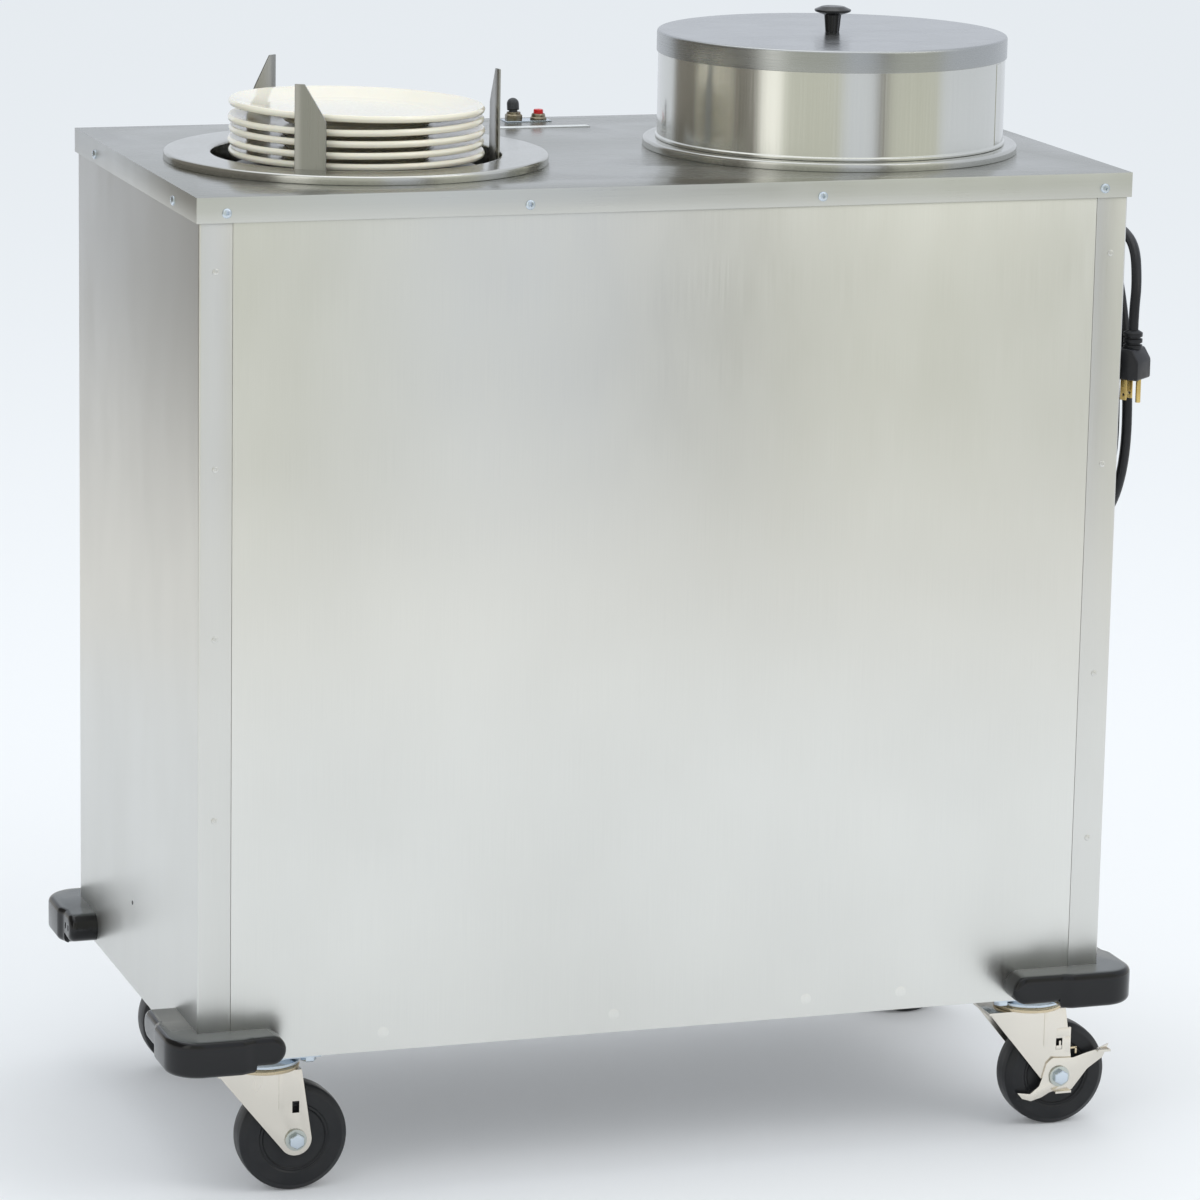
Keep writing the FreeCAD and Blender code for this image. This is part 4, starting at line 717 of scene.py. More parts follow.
# %% Weld marks along the bottom of the front, and one small rivet low on the side
WELD_X = (-263, -44, 143, 237)
pips = []
for x in WELD_X:
    pip = spun(rounded([(5.5 * MM, 0), (3.0 * MM, 0.30 * MM, 2 * MM), (0, 0.34 * MM)], steps=3), steps=24)
    pips.append(turned_copy(pip, aimed((x * MM, FRONT_Y + 0.02 * MM, BOTTOM_Z + 17 * MM), (0, -1, 0))))
    pip.free()
add_piece(joined(*pips), "weld_marks", "cabinet", steel_front)
small = spun(rounded([(2.0 * MM, 0), (1.7 * MM, 0.5 * MM, 0.3 * MM), (0, 0.55 * MM)], steps=2), steps=20)
add_piece(turned_copy(small, aimed((-SIDE_X, 15 * MM, BOTTOM_Z + 82 * MM), (-1, 0, 0))), "side_rivet",
          "cabinet",
          dark_paint)
small.free()

# %% [markdown]
# ## Rings, posts and carriers
#
# A spun ring rims each tube. Its outer edge is rolled over, so the highlight
# there is a soft band. The three posts in each tube are bent strips: their
# form is in the model, and only their edges are softened. The carrier that
# lifts the plates is seen through the gap between plates and ring. It hangs
# on three springs that stretch as it goes down: their top ends stay at the
# ring, their feet go with the carrier. Here the springs are cut into short
# lengths and stay where the model has them.

# %% A finish for a imported piece that stays as it is


def painted(node, finish):
    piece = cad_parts[node]
    if not piece.material_slots:
        piece.data.materials.append(finish.material)
    for slot in piece.material_slots:
        slot.material = finish.material


# %% Springs cut into short lengths
SPRING_STEPS = 24  # lengths that a spring is cut into


def hung_springs(side):
    """The three springs of a tube, cut into short lengths; they ride on no body."""
    node = f"springs_{side}"
    foot, head = box_of(node)
    shape = softened(node, 0.4 * MM, 1, sharp=40)
    for step in range(1, SPRING_STEPS):
        height = foot.z + (head.z - foot.z) * step / SPRING_STEPS
        bmesh.ops.bisect_plane(shape, geom=shape.verts[:] + shape.edges[:] + shape.faces[:],
                               plane_co=(0, 0, height), plane_no=(0, 0, 1))
    piece = add_piece(shape, f"hung_springs_{side}", None, steel_spring, [node], sharp=40)
    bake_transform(piece)


# %% Rings
RING_LOW, RING_HIGH = box_of("ring_left")
ring_radius = (RING_HIGH.x - RING_LOW.x) / 2
RING_BORE, COLLAR_WALL, COLLAR_DEPTH = 132 * MM, 1.5 * MM, 14 * MM
ring_profile = rounded([
    (RING_BORE, -COLLAR_DEPTH), (RING_BORE + COLLAR_WALL, -COLLAR_DEPTH),
    (RING_BORE + COLLAR_WALL, 0.02 * MM, 0.5 * MM), (ring_radius, 0.02 * MM, 0.6 * MM),
    (ring_radius, 8 * MM, 3.2 * MM), (RING_BORE + 5 * MM, 7.6 * MM, 6 * MM), (RING_BORE, 6.6 * MM, 2.5 * MM),
], closed=True, steps=7)
for side, centre in TUBE.items():
    place = (centre.x, centre.y, TOP_Z)
    hoop = spun(ring_profile, place, steps=240, closed=True)
    lugs = []
    for degrees in (56, 176, 296):
        lug = brick((RING_BORE + 0.5 * MM, -6 * MM, -COLLAR_DEPTH),
                    (144.4 * MM, 6 * MM, 2 * MM - COLLAR_DEPTH),
                    0.4 * MM, 2)
        lugs.append(turned_copy(lug, Matrix.Translation(place)
                                @ Matrix.Rotation(math.radians(degrees), 4, "Z")))
    add_piece(joined(hoop, *lugs), f"spun_ring_{side}", "cabinet", steel_ring,
              [f"ring_{side}"])
    soften_node(f"guide_posts_{side}", "cabinet", steel_post, 0.45 * MM, 2)
    soften_node(f"carrier_{side}", f"carrier_{side}", steel_plain, 0.4 * MM, 2)
    hung_springs(side)

# %% [markdown]
# ## The plates
#
# Each plate is turned: a foot, a rising shoulder, a thick rolled rim and a
# shallow well. Real stacks are never true, so every plate is shifted by a
# hair, and the top one leans a little to the right, as in the photograph.

# %% Plates
PLATE_LOW, PLATE_HIGH = box_of("plate_top")
plate_radius = 116.7 * MM
plate_height = PLATE_HIGH.z - PLATE_LOW.z
PLATE_PITCH = 10.2 * MM
plate_profile = rounded([
    (0.0, 4.4 * MM), (56 * MM, 4.4 * MM, 2 * MM), (59 * MM, 0.02 * MM, 1.0 * MM),
    (65.5 * MM, 0.02 * MM, 1.6 * MM),
    (69 * MM, 3.6 * MM, 3 * MM), (104 * MM, 11.6 * MM, 14 * MM),
    (plate_radius - 1.2 * MM, 13.2 * MM, 2.2 * MM),
    (plate_radius, 16.2 * MM, 2.6 * MM), (plate_radius - 1.6 * MM, plate_height - 0.05 * MM, 2.0 * MM),
    (plate_radius - 6.5 * MM, plate_height - 1.1 * MM, 3 * MM), (84 * MM, 12.2 * MM, 12 * MM),
    (72 * MM, PLATE_PITCH, 8 * MM), (0.0, PLATE_PITCH),
], steps=6)


def plate_shape(level, shift, lean):
    shape = spun(plate_profile, steps=144)
    place = Matrix.Translation((TUBE["left"].x + shift[0], TUBE["left"].y + shift[1], level))
    bmesh.ops.transform(shape, matrix=place @ lean, verts=shape.verts)
    return shape


stack_low = box_of("plates_below")[0].z
shifts = [(0.4, 0.5), (-0.5, -0.3), (0.6, 0.1), (-0.3, 0.4)]
lower = []
for number, (dx, dy) in enumerate(shifts):
    lean = Matrix.Rotation(math.radians(0.12 * (-1) ** number), 4, "Y")
    lower.append(plate_shape(stack_low + number * PLATE_PITCH, (dx * MM, dy * MM), lean))
add_piece(joined(*lower), "lower_plates", "plate_stack", china, ["plates_below"], sharp=60)
FOOT = Vector((64 * MM, 0, 0))  # the top plate rocks on its right foot
top_lean = Matrix.Translation(FOOT) @ Matrix.Rotation(math.radians(1.3), 4, "Y") @ Matrix.Translation(-FOOT)
add_piece(plate_shape(PLATE_LOW.z + 0.25 * MM, (-0.2 * MM, -0.2 * MM), top_lean), "upper_plate", "plate_top",
          china,
          ["plate_top"], sharp=60)

# %% [markdown]
# ## The cover
#
# A drum of thin sheet with a lapped seam, a wired foot and a cap that is
# folded over its top. The wall is polished harder than the cabinet, so it
# mirrors the studio in upright bands. Its fine grain stands upright, and on
# the cap's band it goes round.

# %% Cover
COVER_LOW, COVER_HIGH = box_of("cover_shell")
CAP_LOW, CAP_HIGH = box_of("cover_cap")
centre = TUBE["right"]
cover_radius = 161.7 * MM
cap_radius = (CAP_HIGH.x - CAP_LOW.x) / 2
wall = 1.2 * MM
shell_height = COVER_HIGH.z - COVER_LOW.z
shell_profile = rounded([
    (cover_radius - wall, 0.2 * MM), (cover_radius + 1.5 * MM, 0.02 * MM, 0.8 * MM),
    (cover_radius + 1.5 * MM, 2.6 * MM, 1.1 * MM), (cover_radius, 3.6 * MM, 0.8 * MM),
    (cover_radius, shell_height - 0.02 * MM), (cover_radius - wall, shell_height - 0.02 * MM),
], closed=True, steps=4)
add_piece(spun(shell_profile, (centre.x, centre.y, COVER_LOW.z), 240, closed=True), "cover_drum", "cover",
          steel_cover, ["cover_shell"])
cap_height = CAP_HIGH.z - CAP_LOW.z
cap_profile = rounded([
    (cap_radius - wall, 0.1 * MM), (cap_radius, 0.1 * MM, 0.5 * MM), (cap_radius, cap_height, 3.0 * MM),
    (cap_radius - 12 * MM, cap_height - 0.1 * MM, 8 * MM), (0.0, cap_height - 0.15 * MM),
    (0.0, cap_height - wall), (cap_radius - wall, cap_height - wall, 1.6 * MM),
], steps=7)
cap_shape = spun(cap_profile + cap_profile[:1], (centre.x, centre.y, CAP_LOW.z), 240)
lid = add_piece(cap_shape, "cover_lid", "cover", steel_cap, ["cover_cap"])
edge_finish(lid, steel_band)

# %% Lapped seam of the drum
SEAM_ANGLE = math.radians(-38)
seam = brick((cover_radius - 0.2 * MM, -7 * MM, 4 * MM),
             (cover_radius + 0.28 * MM, 7 * MM, 79 * MM), 0.1 * MM, 1)
seam = turned_copy(seam, Matrix.Translation((centre.x, centre.y, COVER_LOW.z))
                   @ Matrix.Rotation(SEAM_ANGLE, 4, "Z"))
add_piece(seam, "cover_seam", "cover", steel_cover)

# %% Knob with a fluted stem
KNOB_LOW, KNOB_HIGH = box_of("cover_knob")
knob_radius = (KNOB_HIGH.x - KNOB_LOW.x) / 2
knob_height = KNOB_HIGH.z - KNOB_LOW.z
FLUTES = 10
head_profile = rounded([
    (0.0, 0.62 * knob_height), (8.0 * MM, 0.64 * knob_height, 1 * MM),
    (knob_radius - 1 * MM, 0.76 * knob_height, 1.2 * MM),
    (knob_radius, 0.84 * knob_height, 1.3 * MM), (0.6 * knob_radius, 0.965 * knob_height, 5 * MM),
    (0.0, knob_height),
], steps=6)
knob_place = (centre.x, centre.y, KNOB_LOW.z)
head = spun(head_profile, knob_place, 64)
stem = bmesh.new()
bmesh.ops.create_circle(stem, cap_ends=True, segments=FLUTES * 6, radius=6.6 * MM)
for index, v in enumerate(sorted(stem.verts, key=lambda v: math.atan2(v.co.y, v.co.x))):
    v.co *= 1 - 0.11 * abs(math.sin(math.pi * index / 6))
rise = bmesh.ops.extrude_face_region(stem, geom=stem.faces[:])
upper = [v for v in rise["geom"] if isinstance(v, bmesh.types.BMVert)]
bmesh.ops.translate(stem, verts=upper, vec=(0, 0, 0.68 * knob_height))
bmesh.ops.scale(stem, verts=upper, vec=(1.22, 1.22, 1))
bmesh.ops.recalc_face_normals(stem, faces=stem.faces)
bmesh.ops.translate(stem, verts=stem.verts, vec=knob_place)
add_piece(joined(head, stem), "lid_knob", "cover", moulded, ["cover_knob"])

# %% [markdown]
# ## Switch and pilot light
#
# A toggle switch in a domed rubber boot and a red pilot light stand at the
# back of the top, on a thin plate. A thin bare strip lies in front of them.

# %% Toggle boot, nut, plate and pilot light
soften_node("control_plate", "cabinet", steel_bolt, 0.2 * MM)
NUT_LOW, NUT_HIGH = box_of("switch_nut")
nut_mid = middle_of("switch_nut")
NUT_FLATS = 15 * MM
nut_body = hex_head(NUT_FLATS, 6.2 * MM, (nut_mid.x, nut_mid.y, NUT_LOW.z), (0, 0, 1), 0.2)
nut_neck = spun(rounded([(0, 5 * MM), (6.9 * MM, 5 * MM), (6.7 * MM, NUT_HIGH.z - NUT_LOW.z, 0.5 * MM),
                         (0, NUT_HIGH.z - NUT_LOW.z)], steps=3), (nut_mid.x, nut_mid.y, NUT_LOW.z), 48)
add_piece(joined(nut_body, nut_neck), "boot_nut", "cabinet", brass_painted_dark, ["switch_nut"])
soften_node("switch_body", "cabinet", dark_paint, 0.3 * MM)
BOOT_RADIUS, BOOT_RISE, NECK, NECK_RADIUS = 5.85 * MM, 12 * MM, 7.13 * MM, 4.1 * MM
dome = BOOT_RISE - BOOT_RADIUS
boot_profile = rounded([(0.0, 0.2 * MM), (NECK_RADIUS, 0.2 * MM), (NECK_RADIUS, NECK + 0.1 * MM),
                        (BOOT_RADIUS, NECK + 0.2 * MM, 0.6 * MM), (BOOT_RADIUS, NECK + dome)], steps=4)
boot_profile += [(BOOT_RADIUS * math.cos(math.radians(a)),
                  NECK + dome + BOOT_RADIUS * math.sin(math.radians(a)))
                 for a in range(9, 91, 9)]
boot_foot = Vector((nut_mid.x, nut_mid.y, TOP_Z + 3.1 * MM))
boot_lean = Matrix.Translation(boot_foot) @ Matrix.Rotation(math.radians(-12), 4, "X")
boot = spun(boot_profile, steps=48)
bmesh.ops.transform(boot, matrix=boot_lean, verts=boot.verts)
add_piece(boot, "toggle_boot_domed", "toggle", boot_rubber, ["toggle_boot"])

BEZEL_LOW, BEZEL_HIGH = box_of("pilot_bezel")
pilot_mid = middle_of("pilot_bezel")
pilot_foot = (pilot_mid.x, pilot_mid.y, BEZEL_LOW.z)
bezel_radius = (BEZEL_HIGH.x - BEZEL_LOW.x) / 2
bezel_height = BEZEL_HIGH.z - BEZEL_LOW.z
bezel = spun(rounded([
    (5.1 * MM, 0), (bezel_radius, 0, 0.4 * MM), (bezel_radius, 1.9 * MM, 0.5 * MM),
    (6.9 * MM, 2.7 * MM, 0.4 * MM),
    (6.7 * MM, 4.6 * MM, 0.5 * MM), (6.0 * MM, bezel_height, 0.5 * MM), (5.1 * MM, bezel_height, 0.2 * MM),
], closed=True, steps=4), pilot_foot, 48, closed=True)
add_piece(bezel, "pilot_ring", "cabinet", brass_painted_dark, ["pilot_bezel"])
lens_top = box_of("pilot_lens")[1].z - BEZEL_LOW.z
jewel = spun(rounded([
    (0.0, -17 * MM), (4.7 * MM, -17 * MM), (4.75 * MM, lens_top - 1.2 * MM, 0.3 * MM),
    (4.3 * MM, lens_top, 0.3 * MM), (1.8 * MM, lens_top - 0.1 * MM, 0.2 * MM), (0.0, lens_top - 0.6 * MM),
], steps=3), pilot_foot, 14)
add_piece(jewel, "pilot_jewel", "cabinet", lens_red, ["pilot_lens"], sharp=15)

strip = brick((-48 * MM, 160 * MM, TOP_Z), (48 * MM, 172 * MM, TOP_Z + 0.5 * MM), 0.15 * MM, 2)
add_piece(strip, "bare_strip", "cabinet", label_blank)

# %% [markdown]
# ## Corner bumpers
#
# A bumper is one piece of soft glossy vinyl, turned a quarter at each corner:
# a deep round nose, and a longer and a shorter arm that end bull-nosed. The
# arms start as side views and the nose as a plan; each is lifted, its outer
# edges are rounded, and a union leaves no hidden faces inside.

# %% Bumpers
BUMPER_REACH, NOSE_REACH = 27 * MM, 31 * MM
BUMPER_LONG, BUMPER_SHORT = 94 * MM, 76 * MM
ARM_LOW, ARM_HIGH, NOSE_LOW = 2 * MM, 29.5 * MM, -4 * MM
BUMPER_SOFT = 6 * MM


def lump(outline, depth):
    """An outline in X and Y lifted by a depth."""
    shape = bmesh.new()
    face = shape.faces.new([shape.verts.new((*point, 0)) for point in outline])
    raised = bmesh.ops.extrude_face_region(shape, geom=[face])
    bmesh.ops.translate(shape, verts=[v for v in raised["geom"] if isinstance(v, bmesh.types.BMVert)],
                        vec=(0, 0, depth))
    bmesh.ops.recalc_face_normals(shape, faces=shape.faces)
    return shape


def round_off(shape, wanted, soft):
    """Rounds the sharp edges that pass a test of their two ends."""
    edges = [e for e in shape.edges if e.calc_face_angle(0) > math.radians(50) and wanted(*e.verts)]
    bmesh.ops.bevel(shape, geom=edges, offset=soft, segments=6, affect="EDGES", profile=0.5,
                    material=-1, clamp_overlap=False)
    bmesh.ops.recalc_face_normals(shape, faces=shape.faces)
    return shape


def bumper_arm(length, stand):
    """An arm from its side view (along, up), stood up and turned to its side."""
    bull = (ARM_HIGH - ARM_LOW) / 2 - 0.05 * MM
    middle = (ARM_LOW + ARM_HIGH) / 2
    end = [(length - bull + bull * math.cos(math.radians(a)), middle + bull * math.sin(math.radians(a)))
           for a in range(-90, 91, 9)]
    arm = lump([(0, ARM_LOW), *end, (0, ARM_HIGH)], BUMPER_REACH)
    round_off(arm, lambda a, b: min(a.co.z, b.co.z) > BUMPER_REACH - 1e-5 and max(a.co.x, b.co.x) > 1e-5,
              BUMPER_SOFT)
    bmesh.ops.transform(arm, matrix=stand, verts=arm.verts)
    bmesh.ops.recalc_face_normals(arm, faces=arm.faces)
    return as_object(arm, "bumper_arm")


def bumper_shape(pockets):
    """The front left bumper about its own corner; its long arm goes back."""
    to_rear = Matrix(((0, 0, -1, 0), (1, 0, 0, 0), (0, 1, 0, 0), (0, 0, 0, 1)))
    to_right = Matrix(((1, 0, 0, 0), (0, 0, -1, 0), (0, 1, 0, 0), (0, 0, 0, 1)))
    whole = bumper_arm(BUMPER_LONG, to_rear)
    carve(whole, bumper_arm(BUMPER_SHORT, to_right), "UNION")
    shoulder = []  # the nose swells from the arm's reach to its own in a soft S
    for step in range(9):
        t = step / 8
        swell = t * t * (3 - 2 * t)
        shoulder.append((-(BUMPER_REACH + (NOSE_REACH - BUMPER_REACH) * swell), (48 - 14 * t) * MM))
    arc = [(-NOSE_REACH * math.cos(math.radians(a)), -NOSE_REACH * math.sin(math.radians(a)))
           for a in range(0, 91, 6)]
    plan = [(0, 48 * MM), *shoulder, *arc] + [(y, x) for x, y in reversed(shoulder)] + [(48 * MM, 0), (0, 0)]
    nose = lump(plan, ARM_HIGH - NOSE_LOW)
    round_off(nose, lambda a, b: abs(a.co.z - b.co.z) < 1e-6
              and not min(a.co.x, b.co.x) > -1e-5 < min(a.co.y, b.co.y),
              BUMPER_SOFT)
    bmesh.ops.translate(nose, verts=nose.verts, vec=(0, 0, NOSE_LOW))
    carve(whole, as_object(nose, "bumper_nose"), "UNION")
    for along in pockets:
        pocket = brick((along * MM, -(BUMPER_REACH + 2 * MM), 13 * MM),
                       ((along + 4) * MM, -(BUMPER_REACH - 3 * MM), 19 * MM), 1 * MM, 2)
        carve(whole, as_object(pocket, "pocket"))
    result = taken(whole)
    bmesh.ops.remove_doubles(result, verts=result.verts, dist=1e-6)
    return result


bumpers = {"plain": bumper_shape(()), "rear_left": bumper_shape((52, 63))}
BUMPER_CORNERS = {
    "front_left": (0, -1, -1), "front_right": (90, 1, -1),
    "rear_right": (180, 1, 1), "rear_left": (270, -1, 1),
}
for corner, (degrees, right, rear) in BUMPER_CORNERS.items():
    place = Matrix.Translation((right * SIDE_X, rear * -FRONT_Y, BOTTOM_Z))
    copy = turned_copy(bumpers.get(corner, bumpers["plain"]),
                       place @ Matrix.Rotation(math.radians(degrees), 4, "Z"))
    add_piece(copy, f"vinyl_bumper_{corner}", "cabinet", vinyl, [f"bumper_{corner}"], sharp=40)
for made in bumpers.values():
    print("bumper volume, cm3:", round(made.calc_volume() * 1e6, 1))
    made.free()

# %% [markdown]
# ## Casters
#
# Each caster has a fixed plate with a ball race and a swivelling fork. The
# fork is stamped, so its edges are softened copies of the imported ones. The
# wheel is turned: a crowned tread, a flat rim, two shallow grooves and a
# boss. Axle and plate bolts get real hex heads.

# %% Plates, races and bolts
soften_node("caster_plates", "cabinet", steel_bolt, 0.4 * MM)
heads = []
bolt_low, bolt_high = box_of("caster_bolts")
BOLT_ACROSS, BOLT_ALONG, BOLT_FLATS = 73 * MM, 44 * MM, 13 * MM
SWIVELS = {c: middle_of(f"wheel_{c}") + Vector((-25.5 * MM, 0, 0)) for c in CORNERS}
for corner, swivel in SWIVELS.items():
    for right in (-1, 1):
        for rear in (-1, 1):
            at = (swivel.x + right * BOLT_ACROSS / 2, swivel.y + rear * BOLT_ALONG / 2, bolt_high.z)
            heads.append(hex_head(BOLT_FLATS, bolt_high.z - bolt_low.z, at, (0, 0, -1), 0.15))
add_piece(joined(*heads), "hex_bolts", "cabinet", steel_bolt, ["caster_bolts"])

# %% Race cups: the yellow-plated lower cup shows above the fork
for corner, swivel in SWIVELS.items():
    crown = box_of(f"fork_{corner}")[1].z
    cup = spun(rounded([
        (26 * MM, crown + 0.35 * MM), (32.5 * MM, crown + 0.35 * MM, 0.5 * MM),
        (33.2 * MM, crown + 3.2 * MM, 1.2 * MM),
        (31.0 * MM, crown + 5.0 * MM, 0.8 * MM), (26 * MM, crown + 5.0 * MM),
    ], closed=True, steps=4), (swivel.x, swivel.y, 0), 72, closed=True)
    add_piece(cup, f"race_cup_{corner}", f"fork_{corner}", race_brass)
    lid = spun(rounded([
        (24 * MM, crown + 6.0 * MM), (33.5 * MM, crown + 6.0 * MM, 0.6 * MM),
        (34.2 * MM, crown + 8.6 * MM, 1.0 * MM),
        (29.5 * MM, crown + 12.6 * MM, 2.0 * MM), (24 * MM, crown + 13.0 * MM),
    ], closed=True, steps=4), (swivel.x, swivel.y, 0), 72, closed=True)
    add_piece(lid, f"race_lid_{corner}", "cabinet", steel_bolt)

# %% Forks and axles
HEAD_HEIGHT, AXLE_FLATS = 5.3 * MM, 13 * MM
WASHER_RADIUS, WASHER_GAUGE = 10 * MM, 2 * MM
for corner in CORNERS:
    soften_node(f"fork_{corner}", f"fork_{corner}", steel_plated, 0.6 * MM, 3)
    low, high = box_of(f"axle_{corner}")
    mid = (low + high) / 2
    start = low.y + HEAD_HEIGHT + WASHER_GAUGE
    axle_turn = Matrix.Translation((mid.x, 0, mid.z)) @ Matrix.Rotation(math.radians(-90), 4, "X")
    rod = spun(rounded([(0, low.y + 1 * MM), (3.95 * MM, low.y + 1 * MM),
                        (3.95 * MM, high.y - 0.2 * MM, 0.6 * MM),
                        (0, high.y - 0.2 * MM)], steps=2), (0, 0, 0), 32)
    bmesh.ops.transform(rod, matrix=axle_turn, verts=rod.verts)
    head = hex_head(AXLE_FLATS, HEAD_HEIGHT, (mid.x, low.y + HEAD_HEIGHT, mid.z), (0, -1, 0), 0.18)
    nut = hex_head(AXLE_FLATS, HEAD_HEIGHT, (mid.x, high.y - HEAD_HEIGHT, mid.z), (0, 1, 0), 0.18)
    add_piece(joined(rod, head, nut), f"axle_bolt_{corner}", f"fork_{corner}", steel_bolt,
              [f"axle_{corner}"])
    washer = spun(rounded([(4.2 * MM, start - WASHER_GAUGE), (WASHER_RADIUS, start - WASHER_GAUGE, 0.5 * MM),
                           (WASHER_RADIUS, start - 0.05 * MM, 0.2 * MM), (4.2 * MM, start - 0.05 * MM)],
                          closed=True, steps=3), (0, 0, 0), 48, closed=True)
    bmesh.ops.transform(washer, matrix=axle_turn, verts=washer.verts)
    add_piece(washer, f"axle_washer_{corner}", f"fork_{corner}", steel_washer,
              [f"axle_{corner}"])

# %% Wheels
WHEEL_LOW, WHEEL_HIGH = box_of("wheel_front_left")
wheel_radius = (WHEEL_HIGH.z - WHEEL_LOW.z) / 2
half_width = (WHEEL_HIGH.y - WHEEL_LOW.y) / 2
face_steps = [
    (4.1, half_width / MM - 1.0, 0.2), (12.5, half_width / MM - 0.02, 0.6),
    (14.0, half_width / MM - 2.6, 1.0),
    (28.5, half_width / MM - 2.6, 1.0), (30.0, half_width / MM - 0.9, 0.6),
    (31.6, half_width / MM - 1.6, 0.4),
    (33.0, half_width / MM - 0.4, 0.5), (44.5, half_width / MM - 0.2, 3.0),
    (wheel_radius / MM - 0.5, half_width / MM - 5.0, 4.0),
]
outer = [(r * MM, h * MM, soft * MM) for r, h, soft in face_steps]
inner = [(r, -h, soft) for r, h, soft in reversed(outer)]
wheel_profile = rounded(outer + [(wheel_radius, 4 * MM, 3 * MM), (wheel_radius, -4 * MM, 3 * MM)] + inner,
                        closed=True, steps=5)
for corner in CORNERS:
    mid = middle_of(f"wheel_{corner}")
    shape = spun(wheel_profile, (0, 0, 0), 128, closed=True)
    shape = turned_copy(shape, Matrix.Translation(mid) @ Matrix.Rotation(math.radians(-90), 4, "X"))
    add_piece(shape, f"rubber_wheel_{corner}", f"wheel_{corner}", tread, [f"wheel_{corner}"])

# %% Brake levers, with a ridged pedal, and the plate, tab and hook that stop them
for corner in ("front_right", "rear_right"):
    lever = softened(f"brake_lever_{corner}", 0.5 * MM, 3)
    axle_x, axle_y, axle_z = middle_of(f"wheel_{corner}")
    lever_low = box_of(f"brake_lever_{corner}")[0]
    ridges = [brick((axle_x + x * MM, lever_low.y + 0.4 * MM, axle_z + 24 * MM - 0.2 * MM),
                    (axle_x + (x + 1.2) * MM, lever_low.y + 7 * MM, axle_z + 24.7 * MM), 0.25 * MM, 2)
              for x in (38, 40.4, 42.8, 45.2, 47.6)]
    add_piece(joined(lever, *ridges), f"brake_pedal_{corner}", f"brake_{corner}", steel_plated,
              [f"brake_lever_{corner}"])
    leg_face = axle_y - 20.5 * MM
    stop = [brick((axle_x - 3 * MM, leg_face - 0.12 * MM, axle_z + 37.5 * MM),
                  (axle_x + 11.8 * MM, leg_face + 2.4 * MM, axle_z + 46.5 * MM), 0.3 * MM, 2),
            brick((axle_x + 6 * MM, leg_face - 0.12 * MM, axle_z + 22 * MM),
                  (axle_x + 11.8 * MM, leg_face + 2.4 * MM, axle_z + 38 * MM), 0.3 * MM, 2),
            brick((axle_x - 0.2 * MM, leg_face - 0.15 * MM, axle_z + 29 * MM),
                  (axle_x + 1.9 * MM, leg_face + 2.2 * MM, axle_z + 34 * MM), 0.3 * MM, 2),
            brick((axle_x - 3.0 * MM, leg_face - 0.15 * MM, axle_z + 25.7 * MM),
                  (axle_x + 2.8 * MM, leg_face + 2.2 * MM, axle_z + 29.4 * MM), 0.3 * MM, 2)]
    add_piece(joined(*stop), f"brake_stop_{corner}", f"fork_{corner}", steel_plated)
    hook = [brick((axle_x + 11 * MM, leg_face + 0.2 * MM, axle_z + 25 * MM),
                  (axle_x + 18.6 * MM, leg_face + 2.0 * MM, axle_z + 27 * MM), 0.4 * MM, 2),
            brick((axle_x + 16.6 * MM, leg_face + 0.2 * MM, axle_z + 20 * MM),
                  (axle_x + 18.6 * MM, leg_face + 2.0 * MM, axle_z + 26.8 * MM), 0.4 * MM, 2)]
    add_piece(joined(*hook), f"brake_hook_{corner}", f"fork_{corner}", race_brass)

# %% [markdown]
# ## What stays as it is
#
# The strip heaters and the thermostat's housing sit inside the closed
# cabinet. Their packed forms are right and nobody sees them close, so they
# keep their shape and only get a finish.

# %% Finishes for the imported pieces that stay
INSIDE = {"strip_heaters": steel_plain, "thermostat": dark_paint}
for node, finish in INSIDE.items():
    painted(node, finish)

# %% [markdown]
# ## Studio
#
# A pale floor runs out of the camera's picture on every side; only from very
# low down does a faint horizon show.
# Metal shows what is round it, so the studio matters more than the lamps: an
# upright screen stands all round, seen only in reflections. It is a plain
# room in four round greys: pale walls, a dark corner, a light panel and a
# warm wall, put about where the drum shows them, so that it gets its bands.
# The floor's paleness comes from its own shader, not from stronger lamps.

# %% Floor
bpy.context.scene.view_settings.view_transform = "Standard"
floor_shape = bmesh.new()
bmesh.ops.create_grid(floor_shape, x_segments=1, y_segments=1, size=30)
floor_mesh = bpy.data.meshes.new("floor")
floor_shape.to_mesh(floor_mesh)
floor_shape.free()
floor = bpy.data.objects.new("floor", floor_mesh)
bpy.context.collection.objects.link(floor)
floor_finish = Finish("studio_floor", (0.76, 0.77, 0.785), 0.75, Specular_IOR_Level=0.0)
floor_finish.feed(floor_finish.spread(floor_finish.noise(2), 0.7, 0.8), "Roughness")
FLOOR_LIFT = 0.09
rays = floor_finish.node("LightPath")
seen = floor_finish.node("Math", operation="ADD")
floor_finish.link(rays.outputs["Is Camera Ray"], seen.inputs[0])
floor_finish.link(rays.outputs["Is Glossy Ray"], seen.inputs[1])
seen_through = floor_finish.node("Math", operation="ADD")
floor_finish.link(seen.outputs[0], seen_through.inputs[0])
floor_finish.link(rays.outputs["Is Transmission Ray"], seen_through.inputs[1])
lift = floor_finish.node("Emission")
lift.inputs["Color"].default_value = (0.98, 0.99, 1.0, 1)
floor_finish.link(floor_finish.spread(seen_through.outputs[0], 0, FLOOR_LIFT, 0, 1), lift.inputs["Strength"])
lifted = floor_finish.node("AddShader")
floor_finish.link(floor_finish.shader.outputs[0], lifted.inputs[0])
floor_finish.link(lift.outputs[0], lifted.inputs[1])
floor_finish.link(lifted.outputs[0], floor_finish.tree.nodes["Material Output"].inputs["Surface"])
floor_mesh.materials.append(floor_finish.material)

